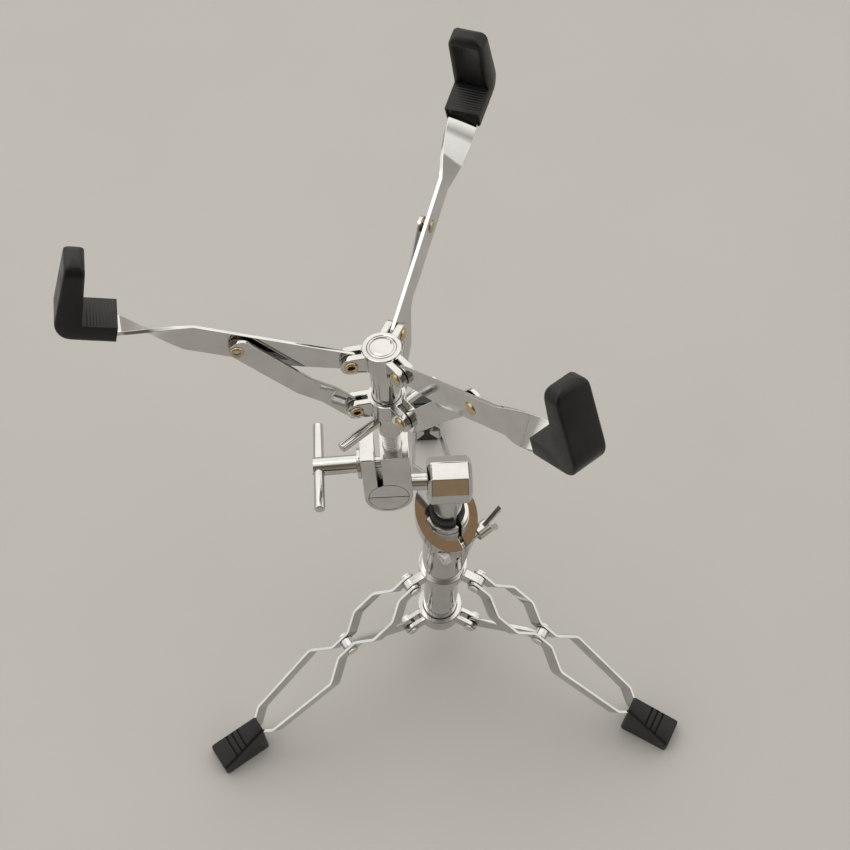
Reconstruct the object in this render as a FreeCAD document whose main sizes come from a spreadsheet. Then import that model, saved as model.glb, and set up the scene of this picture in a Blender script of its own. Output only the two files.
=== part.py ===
"""Snare drum stand: folding tripod, clamped column, two-way tilter and three-armed basket.

Millimetres, +Z up. The origin lies on the floor under the column's axis. The tilter's
shaft runs along X. One leg points away along +Y and the other two lie 120 degrees to each side.
"""
import FreeCAD, Part
import math
import os

# Driving dimensions
DRIVING = {
    # Fits and cuts
    "fit_gap": 0.05,
    "slide_gap": 0.1,
    "clear_gap": 0.3,
    "overrun": 6.0,
    # Tripod linkage
    "pivot_radius": 31.0,
    "leg_pivot_height": 152.0,
    "brace_pivot_height": 52.0,
    "knee_radius": 92.0,
    "leg_pin_radius": 2.6,
    "pin_head_radius": 4.6,
    "pin_head_height": 1.8,
    # Leg hub
    "leg_hub_flange_radius": 19.7,
    "leg_hub_flange_height": 10.0,
    "leg_hub_flange_rise": 6.0,
    "leg_hub_skirt_radius": 16.8,
    "leg_hub_skirt_height": 10.0,
    "leg_lug_width": 7.0,
    "leg_lug_radius": 5.9,
    # Height clamp
    "clamp_body_radius": 17.0,
    "clamp_body_height": 100.0,
    "clamp_collar_radius": 24.0,
    "clamp_collar_height": 14.0,
    "clamp_collar_angle": 45.0,
    "clamp_collar_middle": 97.0,
    "clamp_neck_radius": 16.4,
    "clamp_neck_height": 108.0,
    "clamp_stop_height": 80.0,
    "clamp_slot_width": 3.0,
    "clamp_slot_foot": 40.0,
    "clamp_slot_azimuth": -55.0,
    "clamp_web_azimuth": -24.0,
    "clamp_web_width": 8.0,
    "clamp_web_foot": 8.0,
    # Clamp bush, wing bolt and nut
    "bushing_wall": 2.0,
    "bushing_stand": 6.0,
    "wing_bolt_radius": 3.0,
    "wing_bolt_offset": 19.3,
    "wing_hub_radius": 6.0,
    "wing_hub_height": 11.0,
    "wing_span": 42.0,
    "wing_thickness": 3.4,
    "wing_height": 15.0,
    "wing_lift": 6.5,
    "clamp_nut_radius": 6.4,
    "clamp_nut_height": 5.0,
    "clamp_seat_size": 14.0,
    # Base tube and brace hub
    "base_tube_outer": 28.6,
    "base_tube_wall": 1.2,
    "base_tube_foot": 40.0,
    "brace_hub_radius": 18.8,
    "brace_hub_height": 17.0,
    "brace_hub_rise": 6.5,
    "brace_ear_wall": 4.0,
    "brace_ear_radius": 6.0,
    # Leg strips
    "strip_thickness": 2.6,
    "strip_tall": 12.0,
    "strip_bend_radius": 7.0,
    "strip_near_offset": 5.1,
    "strip_upper_offset": 14.5,
    "strip_lower_offset": 17.0,
    "strip_end_offset": 12.0,
    "strip_boot_offset": 3.2,
    "strip_end_height": 15.1,
    "strip_grip": 19.6,
    # Braces
    "brace_thickness": 3.0,
    "brace_tall": 11.0,
    "brace_eye_radius": 5.6,
    # Rubber feet
    "foot_length": 43.0,
    "foot_inner_height": 38.0,
    "foot_inner_top_width": 14.0,
    "foot_inner_base_width": 25.0,
    "foot_outer_height": 13.0,
    "foot_outer_top_width": 25.0,
    "foot_outer_base_width": 28.0,
    # Column
    "column_tube_outer": 22.2,
    "column_tube_wall": 1.5,
    "column_foot": 60.0,
    "plug_height": 16.0,
    "plug_spigot": 12.0,
    # Tilter barrel and shaft
    "column_stand": 50.5,
    "tilt_offset": 43.2,
    "barrel_across": 32.0,
    "barrel_length": 32.0,
    "barrel_chamfer": 3.0,
    "barrel_socket_depth": 8.5,
    "shaft_radius": 6.4,
    "shaft_seat": 24.0,
    "shaft_grip": 25.0,
    # Tilter block
    "lean_angle": -12.5,
    "roll_angle": -3.0,
    "core_radius": 14.2,
    "core_slit": 1.0,
    "block_width": 34.0,
    "block_depth": 26.0,
    "block_top": 44.5,
    "block_slot_offset": -5.0,
    "block_slot_width": 4.0,
    "window_half_height": 15.2,
    # Cross-bar bolt
    "bolt_height": 25.4,
    "bolt_thread_radius": 4.0,
    "bolt_thread_depth": 12.0,
    "bolt_grip_radius": 6.5,
    "bolt_grip_length": 31.0,
    "bolt_washer_radius": 11.0,
    "bolt_washer_height": 2.5,
    "bolt_bar_radius": 3.7,
    "bolt_bar_length": 74.0,
    "bolt_bar_inset": 4.0,
    # Basket post
    "basket_rise": 146.5,
    "basket_offset": 5.7,
    "rod_radius": 6.4,
    "rod_socket_depth": 12.0,
    "rod_seat": 14.0,
    "post_foot_inset": 8.0,
    "basket_tube_outer": 19.2,
    "basket_tube_wall": 1.6,
    "cap_height": 2.0,
    "cap_spigot": 6.0,
    # Basket collars
    "basket_pivot_radius": 21.0,
    "basket_pin_radius": 2.4,
    "collar_radius": 12.8,
    "collar_height": 15.0,
    "collar_ear_wall": 4.6,
    "collar_ear_radius": 7.0,
    "arm_pivot_drop": 8.5,
    "strut_pivot_drop": 54.0,
    # Basket nut
    "washer_radius": 11.5,
    "washer_height": 1.8,
    "nut_flange_radius": 11.0,
    "nut_flange_height": 7.6,
    "nut_body_radius": 9.0,
    "nut_body_height": 12.0,
    "nut_bar_root": 7.6,
    "nut_bar_radius": 3.4,
    "nut_bar_length": 84.0,
    "nut_bar_azimuth": 38.7,
    # Basket arms and struts
    "arm_azimuth": -174.3,
    "arm_slope_angle": 26.5,
    "arm_thickness": 2.6,
    "arm_tall": 20.0,
    "arm_hole_rise": 3.0,
    "arm_heel_length": 40.0,
    "arm_straight": 106.0,
    "arm_twist_length": 44.6,
    "arm_twist_angle": 27.3,
    "arm_tip_angle": 17.0,
    "arm_plate_length": 27.0,
    "arm_rivet_reach": 75.5,
    "rivet_radius": 2.6,
    "rivet_head_radius": 4.6,
    "rivet_head_height": 1.6,
    "spacer_radius": 5.2,
    "strut_spacing": 2.4,
    "strut_thickness": 2.6,
    "strut_tall": 15.0,
    "strut_hub_hole_rise": 3.0,
    "strut_arm_hole_drop": 2.5,
    "strut_end": 6.0,
    "strut_joggle_start": 22.0,
    "strut_joggle_end": 46.0,
    "strut_bend_radius": 10.0,
    # Rubber tips
    "tip_start": 1.0,
    "tip_width": 24.0,
    "tip_drop": 4.5,
    "tip_shelf": 10.0,
    "tip_length": 38.0,
    "tip_wall": 17.0,
    "tip_crown_wall": 11.5,
    "tip_rise": 56.5,
    "tip_flare_angle": 2.0,
    "tip_heel_radius": 14.0,
    "tip_crown_radius": 5.5,
    "tip_shoulder_radius": 9.0,
    "tip_sole_radius": 4.0,
}
SIDES = ("left", "right", "back")
LEG_AZIMUTHS = (-150.0, -30.0, 90.0)
ARM_STEP = 360.0 / len(SIDES)
HEX_SIDES = 6
BARREL_SIDES = 8
TWIST_STEPS = 9
QUARTER_TURN = 90.0
WING_TIP_SHARE = 0.68
# Rounded corners of the rubber tip's outline, from the side and from the front
TIP_HEEL = 1
TIP_CROWN = 2
TIP_BROW = 3
TIP_SOLES = (0, 1)
TIP_SHOULDERS = (2, 3)
# Where the leg strips bend, as shares of the way from pivot to knee and from knee to end
UPPER_BEND_SHARES = (0.178, 0.383, 0.685, 0.89)
LOWER_BEND_SHARES = (0.086, 0.229, 0.764, 0.866)

doc = FreeCAD.newDocument("SnareStand")
sheet = doc.addObject("Spreadsheet::Sheet", "Sizes")
for row, (alias, number) in enumerate(DRIVING.items(), start=1):
    sheet.set(f"A{row}", alias)
    sheet.set(f"B{row}", str(number))
    sheet.setAlias(f"B{row}", alias)
doc.recompute()


class Size:
    """A length or angle of the stand, with the sheet expression that gives it."""

    def __init__(self, value, text):
        self.value = float(value)
        self.text = text

    def __float__(self):
        return self.value

    def joined(self, sign, other, value):
        right = other.text if isinstance(other, Size) else repr(other)
        return Size(value, f"({self.text} {sign} {right})")

    def __add__(self, other):
        return self.joined("+", other, self.value + float(other))

    def __sub__(self, other):
        return self.joined("-", other, self.value - float(other))

    def __mul__(self, factor):
        return self.joined("*", factor, self.value * float(factor))

    def __truediv__(self, factor):
        return self.joined("/", factor, self.value / float(factor))

    def __neg__(self):
        return Size(-self.value, f"(0 - {self.text})")


class Sizes:
    """Every cell of the sheet as a Size, read by its alias."""

    def __getattr__(self, alias):
        return Size(sheet.get(alias), f"Sizes.{alias}")


def hypotenuse(first, second):
    """Length of the slanted side over two sides at right angles."""
    return Size(math.hypot(float(first), float(second)), f"sqrt({first.text}^2 + {second.text}^2)")


S = Sizes()
pieces = []
X_AXIS = FreeCAD.Vector(1, 0, 0)
Y_AXIS = FreeCAD.Vector(0, 1, 0)
Z_AXIS = FreeCAD.Vector(0, 0, 1)


def move(x=0, y=0, z=0):
    """Placement that shifts by x, y and z."""
    return FreeCAD.Placement(FreeCAD.Vector(float(x), float(y), float(z)), FreeCAD.Rotation())


def turn(axis, angle):
    """Placement that turns by an angle in degrees about an axis through the origin."""
    return FreeCAD.Placement(FreeCAD.Vector(), FreeCAD.Rotation(axis, float(angle)))


HOME = move()
ALONG_X = turn(Y_AXIS, QUARTER_TURN)
ALONG_Y = turn(X_AXIS, -QUARTER_TURN)


def bind(item, **sizes):
    """Ties properties of a document object to the sheet."""
    for name, size in sizes.items():
        item.setExpression(name, size.text)


def cylinder(radius, height, place=HOME):
    """Cylinder standing on its placement's XY plane."""
    solid = doc.addObject("Part::Cylinder", "Cylinder")
    bind(solid, Radius=radius, Height=height)
    solid.Placement = place
    return solid


def hole_through(radius, height, foot=None):
    """Cylinder that cuts right through a piece standing on a foot level."""
    start = foot or Size(0, "0")
    return cylinder(radius, height + S.overrun * 2, move(z=start - S.overrun))


def rod(radius, length, place=HOME):
    """Cylinder centred on its placement's origin, along its Z axis."""
    return cylinder(radius, length, place * move(z=-length / 2))


def block(length, width, height, place=HOME):
    """Box centred in X and Y on its placement, standing on its XY plane."""
    solid = doc.addObject("Part::Box", "Block")
    bind(solid, Length=length, Width=width, Height=height)
    solid.Placement = place * move(x=-length / 2, y=-width / 2)
    return solid


def prism(sides, radius, height, place=HOME):
    """Upright prism over a regular polygon of the given corner radius."""
    solid = doc.addObject("Part::Prism", "Prism")
    solid.Polygon = sides
    bind(solid, Circumradius=radius, Height=height)
    solid.Placement = place
    return solid


def fuse(*solids):
    """Union of several solids."""
    union = doc.addObject("Part::MultiFuse", "Union")
    union.Shapes = list(solids)
    union.Refine = True
    return union


def cut(base, *tools):
    """Base with the tools taken away."""
    result = doc.addObject("Part::Cut", "Cut")
    result.Base = base
    result.Tool = tools[0] if len(tools) == 1 else fuse(*tools)
    return result


def common(first, second):
    """What two solids share."""
    result = doc.addObject("Part::Common", "Common")
    result.Base = first
    result.Tool = second
    return result


def group(*solids):
    """Separate solids of one kind kept as one piece of the list."""
    compound = doc.addObject("Part::Compound", "Group")
    compound.Links = list(solids)
    return compound


def keep(item, node, place=HOME):
    """Names a finished piece and sets it in its place on the stand."""
    item.Label = node
    item.Placement = place
    pieces.append(item)
    return item


def around(azimuth):
    """Frame turned about the column so that its X axis points outwards at an azimuth."""
    return turn(Z_AXIS, azimuth)


def new_body(name):
    """Empty body for sketched features."""
    return doc.addObject("PartDesign::Body", name)


def sketch_on(body, role):
    """Sketch on one of the body's own origin planes."""
    sketch = body.newObject("Sketcher::SketchObject", "Sketch")
    plane = next(feature for feature in body.Origin.OriginFeatures if feature.Role == role)
    sketch.AttachmentSupport = [(plane, "")]
    sketch.MapMode = "FlatFace"
    return sketch


def corner_arc(before, corner, after, radius):
    """Start, middle and end of the arc that rounds one corner."""
    back = (before - corner).normalize()
    ahead = (after - corner).normalize()
    half = back.getAngle(ahead) / 2
    setback = float(radius) / math.tan(half)
    middle = corner + (back + ahead).normalize() * (float(radius) / math.sin(half) - float(radius))
    return corner + back * setback, middle, corner + ahead * setback


def bent_line(points, radius):
    """Lines through the points, joined by tangent arcs of one radius."""
    route = [FreeCAD.Vector(float(x), float(y), 0) for x, y in points]
    curves = []
    start = route[0]
    for before, corner, after in zip(route, route[1:], route[2:]):
        enter, middle, leave = corner_arc(before, corner, after, radius)
        curves += [Part.LineSegment(start, enter), Part.Arc(enter, middle, leave)]
        start = leave
    return curves + [Part.LineSegment(start, route[-1])]


def closed_outline(sketch, points, radii=None):
    """Draws lines through the points and back, rounding the corners named by their index."""
    corners = [FreeCAD.Vector(float(x), float(y), 0) for x, y in points]
    rounds = radii or {}
    spans = []
    curves = []
    for index, corner in enumerate(corners):
        enter, leave = corner, corner
        if index in rounds:
            after = corners[(index + 1) % len(corners)]
            enter, middle, leave = corner_arc(corners[index - 1], corner, after, rounds[index])
            curves.append(Part.Arc(enter, middle, leave))
        spans.append((enter, leave))
    for (_, start), (end, _) in zip(spans, spans[1:] + spans[:1]):
        curves.append(Part.LineSegment(start, end))
    sketch.addGeometry(curves, False)


def bent_bar(name, points, radius, thickness, tall):
    """Flat bar on edge that follows a bent line in its own XY plane."""
    body = new_body(name)
    path = sketch_on(body, "XY_Plane")
    path.addGeometry(bent_line(points, radius), False)
    section = sketch_on(body, "YZ_Plane")
    start = float(points[0][1])
    half = float(thickness) / 2
    rise = float(tall) / 2
    near = start - half
    far = start + half
    closed_outline(section, [(near, -rise), (far, -rise), (far, rise), (near, rise)])
    doc.recompute()
    pipe = body.newObject("PartDesign::AdditivePipe", "Pipe")
    pipe.Profile = section
    pipe.Spine = path
    return body


def eared_collar(radius, bore, height, rise, reach, slot, wall, ear_radius, pin_radius, azimuths):
    """Collar with a pair of ears at each azimuth, its origin level with the ears' pins."""
    outer = slot + wall * 2
    drop = rise - height
    solids = [cylinder(radius, height, move(z=drop))]
    tools = [hole_through(bore, height, drop)]
    for azimuth in azimuths:
        frame = around(azimuth)
        solids.append(block(reach, outer, ear_radius * 2, frame * move(x=reach / 2, z=-ear_radius)))
        solids.append(rod(ear_radius, outer, frame * move(x=reach) * ALONG_Y))
        gap = reach + ear_radius + S.overrun - radius
        tools.append(block(gap, slot, height + S.overrun * 2,
                           frame * move(x=radius + gap / 2, z=drop - S.overrun)))
        tools.append(rod(pin_radius + S.fit_gap, outer + S.overrun, frame * move(x=reach) * ALONG_Y))
    return cut(fuse(*solids), *tools)


def headed_pin(radius, length, place):
    """Pin along Y with a flat head at each end, length measured between the heads."""
    head = move(z=length / 2 + S.pin_head_height / 2)
    other = move(z=-(length / 2 + S.pin_head_height / 2))
    along = place * ALONG_Y
    return fuse(rod(radius, length, along),
                rod(S.pin_head_radius, S.pin_head_height, along * head),
                rod(S.pin_head_radius, S.pin_head_height, along * other))


# Tripod frames
knee_drop = (S.leg_pivot_height - S.brace_pivot_height) / 2
knee_reach = S.knee_radius - S.pivot_radius
link_length = hypotenuse(knee_drop, knee_reach)
leg_slope = math.degrees(math.atan2(float(knee_drop), float(knee_reach)))
clamp_foot = S.leg_pivot_height + S.leg_hub_flange_rise
tilt_height = clamp_foot + S.clamp_neck_height + S.bushing_stand + S.column_stand
strip_length = (S.leg_pivot_height - S.strip_end_height) / math.sin(math.radians(leg_slope))
foot_start = S.pivot_radius + (strip_length - S.strip_grip) * math.cos(math.radians(leg_slope))
base_tube_radius = S.base_tube_outer / 2
base_tube_bore = base_tube_radius - S.base_tube_wall
column_radius = S.column_tube_outer / 2
strip_outer = S.strip_near_offset + S.strip_thickness / 2


def leg_frame(azimuth):
    """Frame at a leg's pivot: X along the leg, Y sideways."""
    return around(azimuth) * move(x=S.pivot_radius, z=S.leg_pivot_height) * turn(Y_AXIS, leg_slope)


def brace_frame(azimuth):
    """Frame at a brace's inner pivot: X along the brace, Y sideways."""
    return around(azimuth) * move(x=S.pivot_radius, z=S.brace_pivot_height) * turn(Y_AXIS, -leg_slope)


# Leg hub with its pins
def make_leg_hub():
    skirt_foot = S.leg_hub_flange_rise - S.leg_hub_flange_height - S.leg_hub_skirt_height
    height = S.leg_hub_flange_height + S.leg_hub_skirt_height
    flange_foot = skirt_foot + S.leg_hub_skirt_height
    solids = [
        cylinder(S.leg_hub_flange_radius, S.leg_hub_flange_height, move(z=flange_foot)),
        cylinder(S.leg_hub_skirt_radius, S.leg_hub_skirt_height, move(z=skirt_foot)),
    ]
    tools = [hole_through(base_tube_radius + S.slide_gap, height, skirt_foot)]
    for azimuth in LEG_AZIMUTHS:
        frame = around(azimuth)
        solids.append(block(S.pivot_radius, S.leg_lug_width, S.leg_lug_radius * 2,
                            frame * move(x=S.pivot_radius / 2, z=-S.leg_lug_radius)))
        solids.append(rod(S.leg_lug_radius, S.leg_lug_width, frame * move(x=S.pivot_radius) * ALONG_Y))
        tools.append(rod(S.leg_pin_radius + S.fit_gap, S.leg_lug_width + S.overrun,
                         frame * move(x=S.pivot_radius) * ALONG_Y))
    keep(cut(fuse(*solids), *tools), "leg_hub", move(z=S.leg_pivot_height))
    length = (strip_outer + S.clear_gap) * 2
    pins = [headed_pin(S.leg_pin_radius, length, around(azimuth) * move(x=S.pivot_radius))
            for azimuth in LEG_AZIMUTHS]
    keep(group(*pins), "leg_pins", move(z=S.leg_pivot_height))


# Height clamp, its bush, wing bolt and nut
slot_frame = around(S.clamp_slot_azimuth)
bolt_level = S.clamp_collar_middle - S.wing_bolt_offset
bolt_frame = (move(z=clamp_foot) * slot_frame * move(x=S.wing_bolt_offset, z=bolt_level)
              * turn(X_AXIS, -QUARTER_TURN))
bolt_chord = Size(math.sqrt(float(S.clamp_collar_radius) ** 2 - float(S.wing_bolt_offset) ** 2),
                  f"sqrt({S.clamp_collar_radius.text}^2 - {S.wing_bolt_offset.text}^2)")
bushing_bore = column_radius + S.fit_gap
bushing_radius = bushing_bore + S.bushing_wall


def make_clamp_collar():
    """Round collar between two parallel slanted planes."""
    slope = float(S.clamp_collar_angle)
    thickness = S.clamp_collar_height * math.cos(math.radians(slope))
    span = S.clamp_collar_radius * 4
    slab = block(span, span, thickness,
                 slot_frame * move(z=S.clamp_collar_middle) * turn(Y_AXIS, slope) * move(z=-thickness / 2))
    round_stock = rod(S.clamp_collar_radius, S.clamp_collar_radius * 4, move(z=S.clamp_collar_middle))
    return common(round_stock, slab)


def make_clamp_web():
    """Rib under the collar's low side that tapers down to the body."""
    swing = math.radians(float(S.clamp_web_azimuth - S.clamp_slot_azimuth))
    top = S.clamp_collar_middle - S.clamp_collar_radius * math.cos(swing)
    body = new_body("ClampWeb")
    outline = sketch_on(body, "XZ_Plane")
    closed_outline(outline, [(0, S.clamp_web_foot), (S.clamp_body_radius, S.clamp_web_foot),
                             (S.clamp_collar_radius, top), (0, top)])
    pad = body.newObject("PartDesign::Pad", "Pad")
    pad.Profile = outline
    pad.SideType = "Symmetric"
    bind(pad, Length=S.clamp_web_width)
    body.Placement = around(S.clamp_web_azimuth)
    return body


def clamp_seat(side):
    """Cut that leaves a flat under the wing bolt's hub or its nut."""
    place = slot_frame * move(x=S.wing_bolt_offset, y=(bolt_chord + S.clamp_collar_radius / 2) * side,
                              z=bolt_level - S.clamp_seat_size / 2)
    return block(S.clamp_seat_size, S.clamp_collar_radius, S.clamp_seat_size, place)


def make_height_clamp():
    reach = S.clamp_collar_radius + S.overrun
    body = fuse(cylinder(S.clamp_body_radius, S.clamp_body_height),
                cylinder(S.clamp_neck_radius, S.clamp_neck_height),
                make_clamp_collar(), make_clamp_web())
    tools = (
        cylinder(base_tube_radius + S.slide_gap, S.clamp_stop_height + S.overrun, move(z=-S.overrun)),
        cylinder(bushing_radius, S.clamp_collar_radius * 4, move(z=S.clamp_stop_height - S.overrun)),
        block(reach, S.clamp_slot_width, S.clamp_neck_height,
              slot_frame * move(x=reach / 2, z=S.clamp_slot_foot)),
        rod(S.wing_bolt_radius + S.slide_gap, reach * 2,
            slot_frame * move(x=S.wing_bolt_offset, z=bolt_level) * ALONG_Y),
        clamp_seat(1),
        clamp_seat(-1),
    )
    keep(cut(body, *tools), "height_clamp", move(z=clamp_foot))


def make_clamp_bushing():
    height = S.clamp_neck_height + S.bushing_stand - S.clamp_stop_height
    ring = cut(cylinder(bushing_radius - S.fit_gap, height),
               hole_through(bushing_bore, height),
               block(bushing_radius * 2, S.clamp_slot_width, height + S.overrun * 2,
                     slot_frame * move(x=bushing_radius, z=-S.overrun)))
    keep(ring, "clamp_bushing", move(z=clamp_foot + S.clamp_stop_height))


def make_wing_bolt():
    shank = bolt_chord * 2 + S.clamp_nut_height + S.clear_gap * 2
    wing_reach = S.wing_span / 2
    body = new_body("Wings")
    outline = sketch_on(body, "YZ_Plane")
    closed_outline(outline, [(-wing_reach, S.wing_lift + S.wing_height), (-S.wing_hub_radius, S.wing_lift),
                             (S.wing_hub_radius, S.wing_lift), (wing_reach, S.wing_lift + S.wing_height),
                             (wing_reach * WING_TIP_SHARE, S.wing_lift + S.wing_height),
                             (S.wing_hub_radius, S.wing_hub_height), (-S.wing_hub_radius, S.wing_hub_height),
                             (-wing_reach * WING_TIP_SHARE, S.wing_lift + S.wing_height)])
    pad = body.newObject("PartDesign::Pad", "Pad")
    pad.Profile = outline
    pad.SideType = "Symmetric"
    bind(pad, Length=S.wing_thickness)
    bolt = fuse(cylinder(S.wing_bolt_radius, shank, move(z=-shank)),
                cylinder(S.wing_hub_radius, S.wing_hub_height), body)
    keep(bolt, "clamp_bolt", bolt_frame * move(z=bolt_chord + S.clear_gap))
    nut = cut(prism(HEX_SIDES, S.clamp_nut_radius, S.clamp_nut_height),
              hole_through(S.wing_bolt_radius + S.fit_gap, S.clamp_nut_height))
    keep(nut, "clamp_nut", bolt_frame * move(z=-(bolt_chord + S.clamp_nut_height + S.fit_gap)))


# Base tube with the brace hub
def make_base_tube():
    length = clamp_foot + S.clamp_stop_height - S.clear_gap - S.base_tube_foot
    tube = cut(cylinder(base_tube_radius, length), hole_through(base_tube_bore, length))
    keep(tube, "base_tube", move(z=S.base_tube_foot))
    slot = S.brace_thickness + S.clear_gap * 2
    hub = eared_collar(S.brace_hub_radius, base_tube_radius + S.fit_gap, S.brace_hub_height,
                       S.brace_hub_rise, S.pivot_radius, slot, S.brace_ear_wall, S.brace_ear_radius,
                       S.leg_pin_radius, LEG_AZIMUTHS)
    keep(hub, "brace_hub", move(z=S.brace_pivot_height))
    length = slot + S.brace_ear_wall * 2 + S.fit_gap * 2
    pins = [headed_pin(S.leg_pin_radius, length, around(azimuth) * move(x=S.pivot_radius))
            for azimuth in LEG_AZIMUTHS]
    keep(group(*pins), "brace_pins", move(z=S.brace_pivot_height))


# Legs, braces and rubber feet
def strip_points(mirror, end):
    """Bends of one leg strip up to its end: distance along the leg and offset to one side."""
    offsets = (S.strip_near_offset, S.strip_upper_offset, S.strip_upper_offset, S.strip_near_offset,
               S.strip_near_offset, S.strip_lower_offset, S.strip_end_offset, S.strip_boot_offset)
    reaches = [link_length * share for share in UPPER_BEND_SHARES]
    reaches += [link_length + (strip_length - link_length) * share for share in LOWER_BEND_SHARES]
    points = [(0, S.strip_near_offset * mirror)]
    points += [(reach, offset * mirror) for reach, offset in zip(reaches, offsets)]
    return points + [(end, S.strip_boot_offset * mirror)]


def make_leg_strip(mirror, node, frame):
    points = strip_points(mirror, strip_length)
    bar = bent_bar("LegStrip", points, S.strip_bend_radius, S.strip_thickness, S.strip_tall)
    middle = move(y=S.strip_near_offset * mirror)
    eye = rod(S.strip_tall / 2, S.strip_thickness, middle * ALONG_Y)
    holes = [rod(S.leg_pin_radius + S.slide_gap, S.strip_near_offset, middle * move(x=x) * ALONG_Y)
             for x in (0, link_length)]
    keep(cut(fuse(bar, eye), *holes), node, frame)


def foot_slot(mirror, frame):
    """Space in a foot for one leg strip."""
    points = strip_points(mirror, strip_length + S.slide_gap)
    slot = bent_bar("FootSlot", points, S.strip_bend_radius, S.strip_thickness + S.slide_gap * 2,
                    S.strip_tall + S.slide_gap * 2)
    slot.Placement = frame
    return slot


def make_foot(node, azimuth):
    body = new_body("Foot")
    sections = (
        (0, S.foot_inner_base_width, S.foot_inner_top_width, S.foot_inner_height),
        (S.foot_length, S.foot_outer_base_width, S.foot_outer_top_width, S.foot_outer_height),
    )
    sketches = []
    for reach, base_width, top_width, height in sections:
        sketch = sketch_on(body, "YZ_Plane")
        sketch.AttachmentOffset = move(z=reach)
        low_width = base_width + (base_width - top_width) * S.overrun / height
        closed_outline(sketch, [(-low_width / 2, -S.overrun), (low_width / 2, -S.overrun),
                                (top_width / 2, height), (-top_width / 2, height)])
        sketches.append(sketch)
    doc.recompute()
    loft = body.newObject("PartDesign::AdditiveLoft", "Loft")
    loft.Profile = sketches[0]
    loft.Sections = sketches[1:]
    loft.Ruled = True
    below = block(S.foot_length * 2, S.foot_outer_base_width * 2, S.overrun * 2,
                  move(x=S.foot_length / 2, z=-S.overrun * 2))
    frame = move(x=-foot_start) * around(-azimuth) * leg_frame(azimuth)
    slots = [foot_slot(mirror, frame) for mirror in (1, -1)]
    keep(cut(body, below, *slots), node, around(azimuth) * move(x=foot_start))


def make_brace(node, azimuth):
    eye_width = (S.strip_near_offset - S.strip_thickness / 2 - S.clear_gap) * 2
    half_tall = S.brace_tall / 2
    bar = fuse(block(link_length, S.brace_thickness, S.brace_tall, move(x=link_length / 2, z=-half_tall)),
               rod(half_tall, S.brace_thickness, ALONG_Y),
               rod(S.brace_eye_radius, eye_width, move(x=link_length) * ALONG_Y))
    holes = [rod(S.leg_pin_radius + S.slide_gap, eye_width + S.overrun, move(x=x) * ALONG_Y)
             for x in (0, link_length)]
    keep(cut(bar, *holes), node, brace_frame(azimuth))


def make_legs():
    for side, azimuth in zip(SIDES, LEG_AZIMUTHS):
        frame = leg_frame(azimuth)
        make_leg_strip(1, f"{side}_leg_strip_1", frame)
        make_leg_strip(-1, f"{side}_leg_strip_2", frame)
        rivet = headed_pin(S.leg_pin_radius, (strip_outer + S.fit_gap) * 2, HOME)
        keep(rivet, f"{side}_knee_rivet", frame * move(x=link_length))
        make_foot(f"{side}_foot", azimuth)
        make_brace(f"{side}_brace", azimuth)


# Column tube and its plug
def make_column():
    shoulder = S.column_foot + S.plug_height
    bore = column_radius - S.column_tube_wall
    plug = fuse(cylinder(base_tube_bore - S.clear_gap, S.plug_height),
                cylinder(bore - S.fit_gap, S.plug_height + S.plug_spigot))
    keep(plug, "column_plug", move(z=S.column_foot))
    head = tilt_height - S.barrel_across / 2 + S.barrel_socket_depth - S.fit_gap
    length = head - shoulder - S.fit_gap
    tube = cut(cylinder(column_radius, length), hole_through(bore, length))
    keep(tube, "column_tube", move(z=shoulder + S.fit_gap))


# Tilter barrel, shaft and split core
lean_frame = move(x=-S.tilt_offset, z=tilt_height) * turn(X_AXIS, S.lean_angle)
tilter_frame = lean_frame * turn(Y_AXIS, S.roll_angle)


def make_barrel():
    corner = S.barrel_across / 2 / math.cos(math.pi / BARREL_SIDES)
    stock = prism(BARREL_SIDES, corner, S.barrel_length,
                  turn(Z_AXIS, QUARTER_TURN * 2 / BARREL_SIDES) * move(z=-S.barrel_length / 2))
    doc.recompute()
    bevelled = doc.addObject("Part::Chamfer", "Bevelled")
    bevelled.Base = stock
    chamfer = float(S.barrel_chamfer)
    end = float(S.barrel_length) / 2
    bevelled.Edges = [(number, chamfer, chamfer) for number, edge in enumerate(stock.Shape.Edges, start=1)
                      if all(abs(abs(vertex.Z) - end) < chamfer for vertex in edge.Vertexes)
                      and abs(edge.Vertexes[0].Z - edge.Vertexes[1].Z) < chamfer]
    shaft_bore = cylinder(S.shaft_radius + S.fit_gap, S.shaft_seat + S.overrun,
                          move(z=-(S.barrel_length / 2 + S.overrun)))
    socket = cylinder(column_radius + S.fit_gap, S.barrel_socket_depth + S.overrun,
                      move(x=S.barrel_across / 2 - S.barrel_socket_depth) * ALONG_X)
    keep(cut(bevelled, shaft_bore, socket), "tilter_barrel", move(z=tilt_height) * ALONG_X)


def make_shaft():
    end = S.barrel_length / 2 - S.shaft_seat
    far = S.tilt_offset + S.shaft_grip / 2
    shaft = cylinder(S.shaft_radius, far - end)
    keep(shaft, "tilter_shaft", move(x=-far, z=tilt_height) * ALONG_X)


def make_core_half(node, flip):
    stock = rod(S.core_radius, S.block_depth, ALONG_Y)
    span = S.core_radius * 4
    away = block(span, span, span, turn(X_AXIS, flip) * move(z=-span + S.core_slit / 2))
    shaft = rod(S.shaft_radius + S.fit_gap, span, ALONG_X)
    keep(cut(stock, away, shaft), node, lean_frame)


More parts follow.
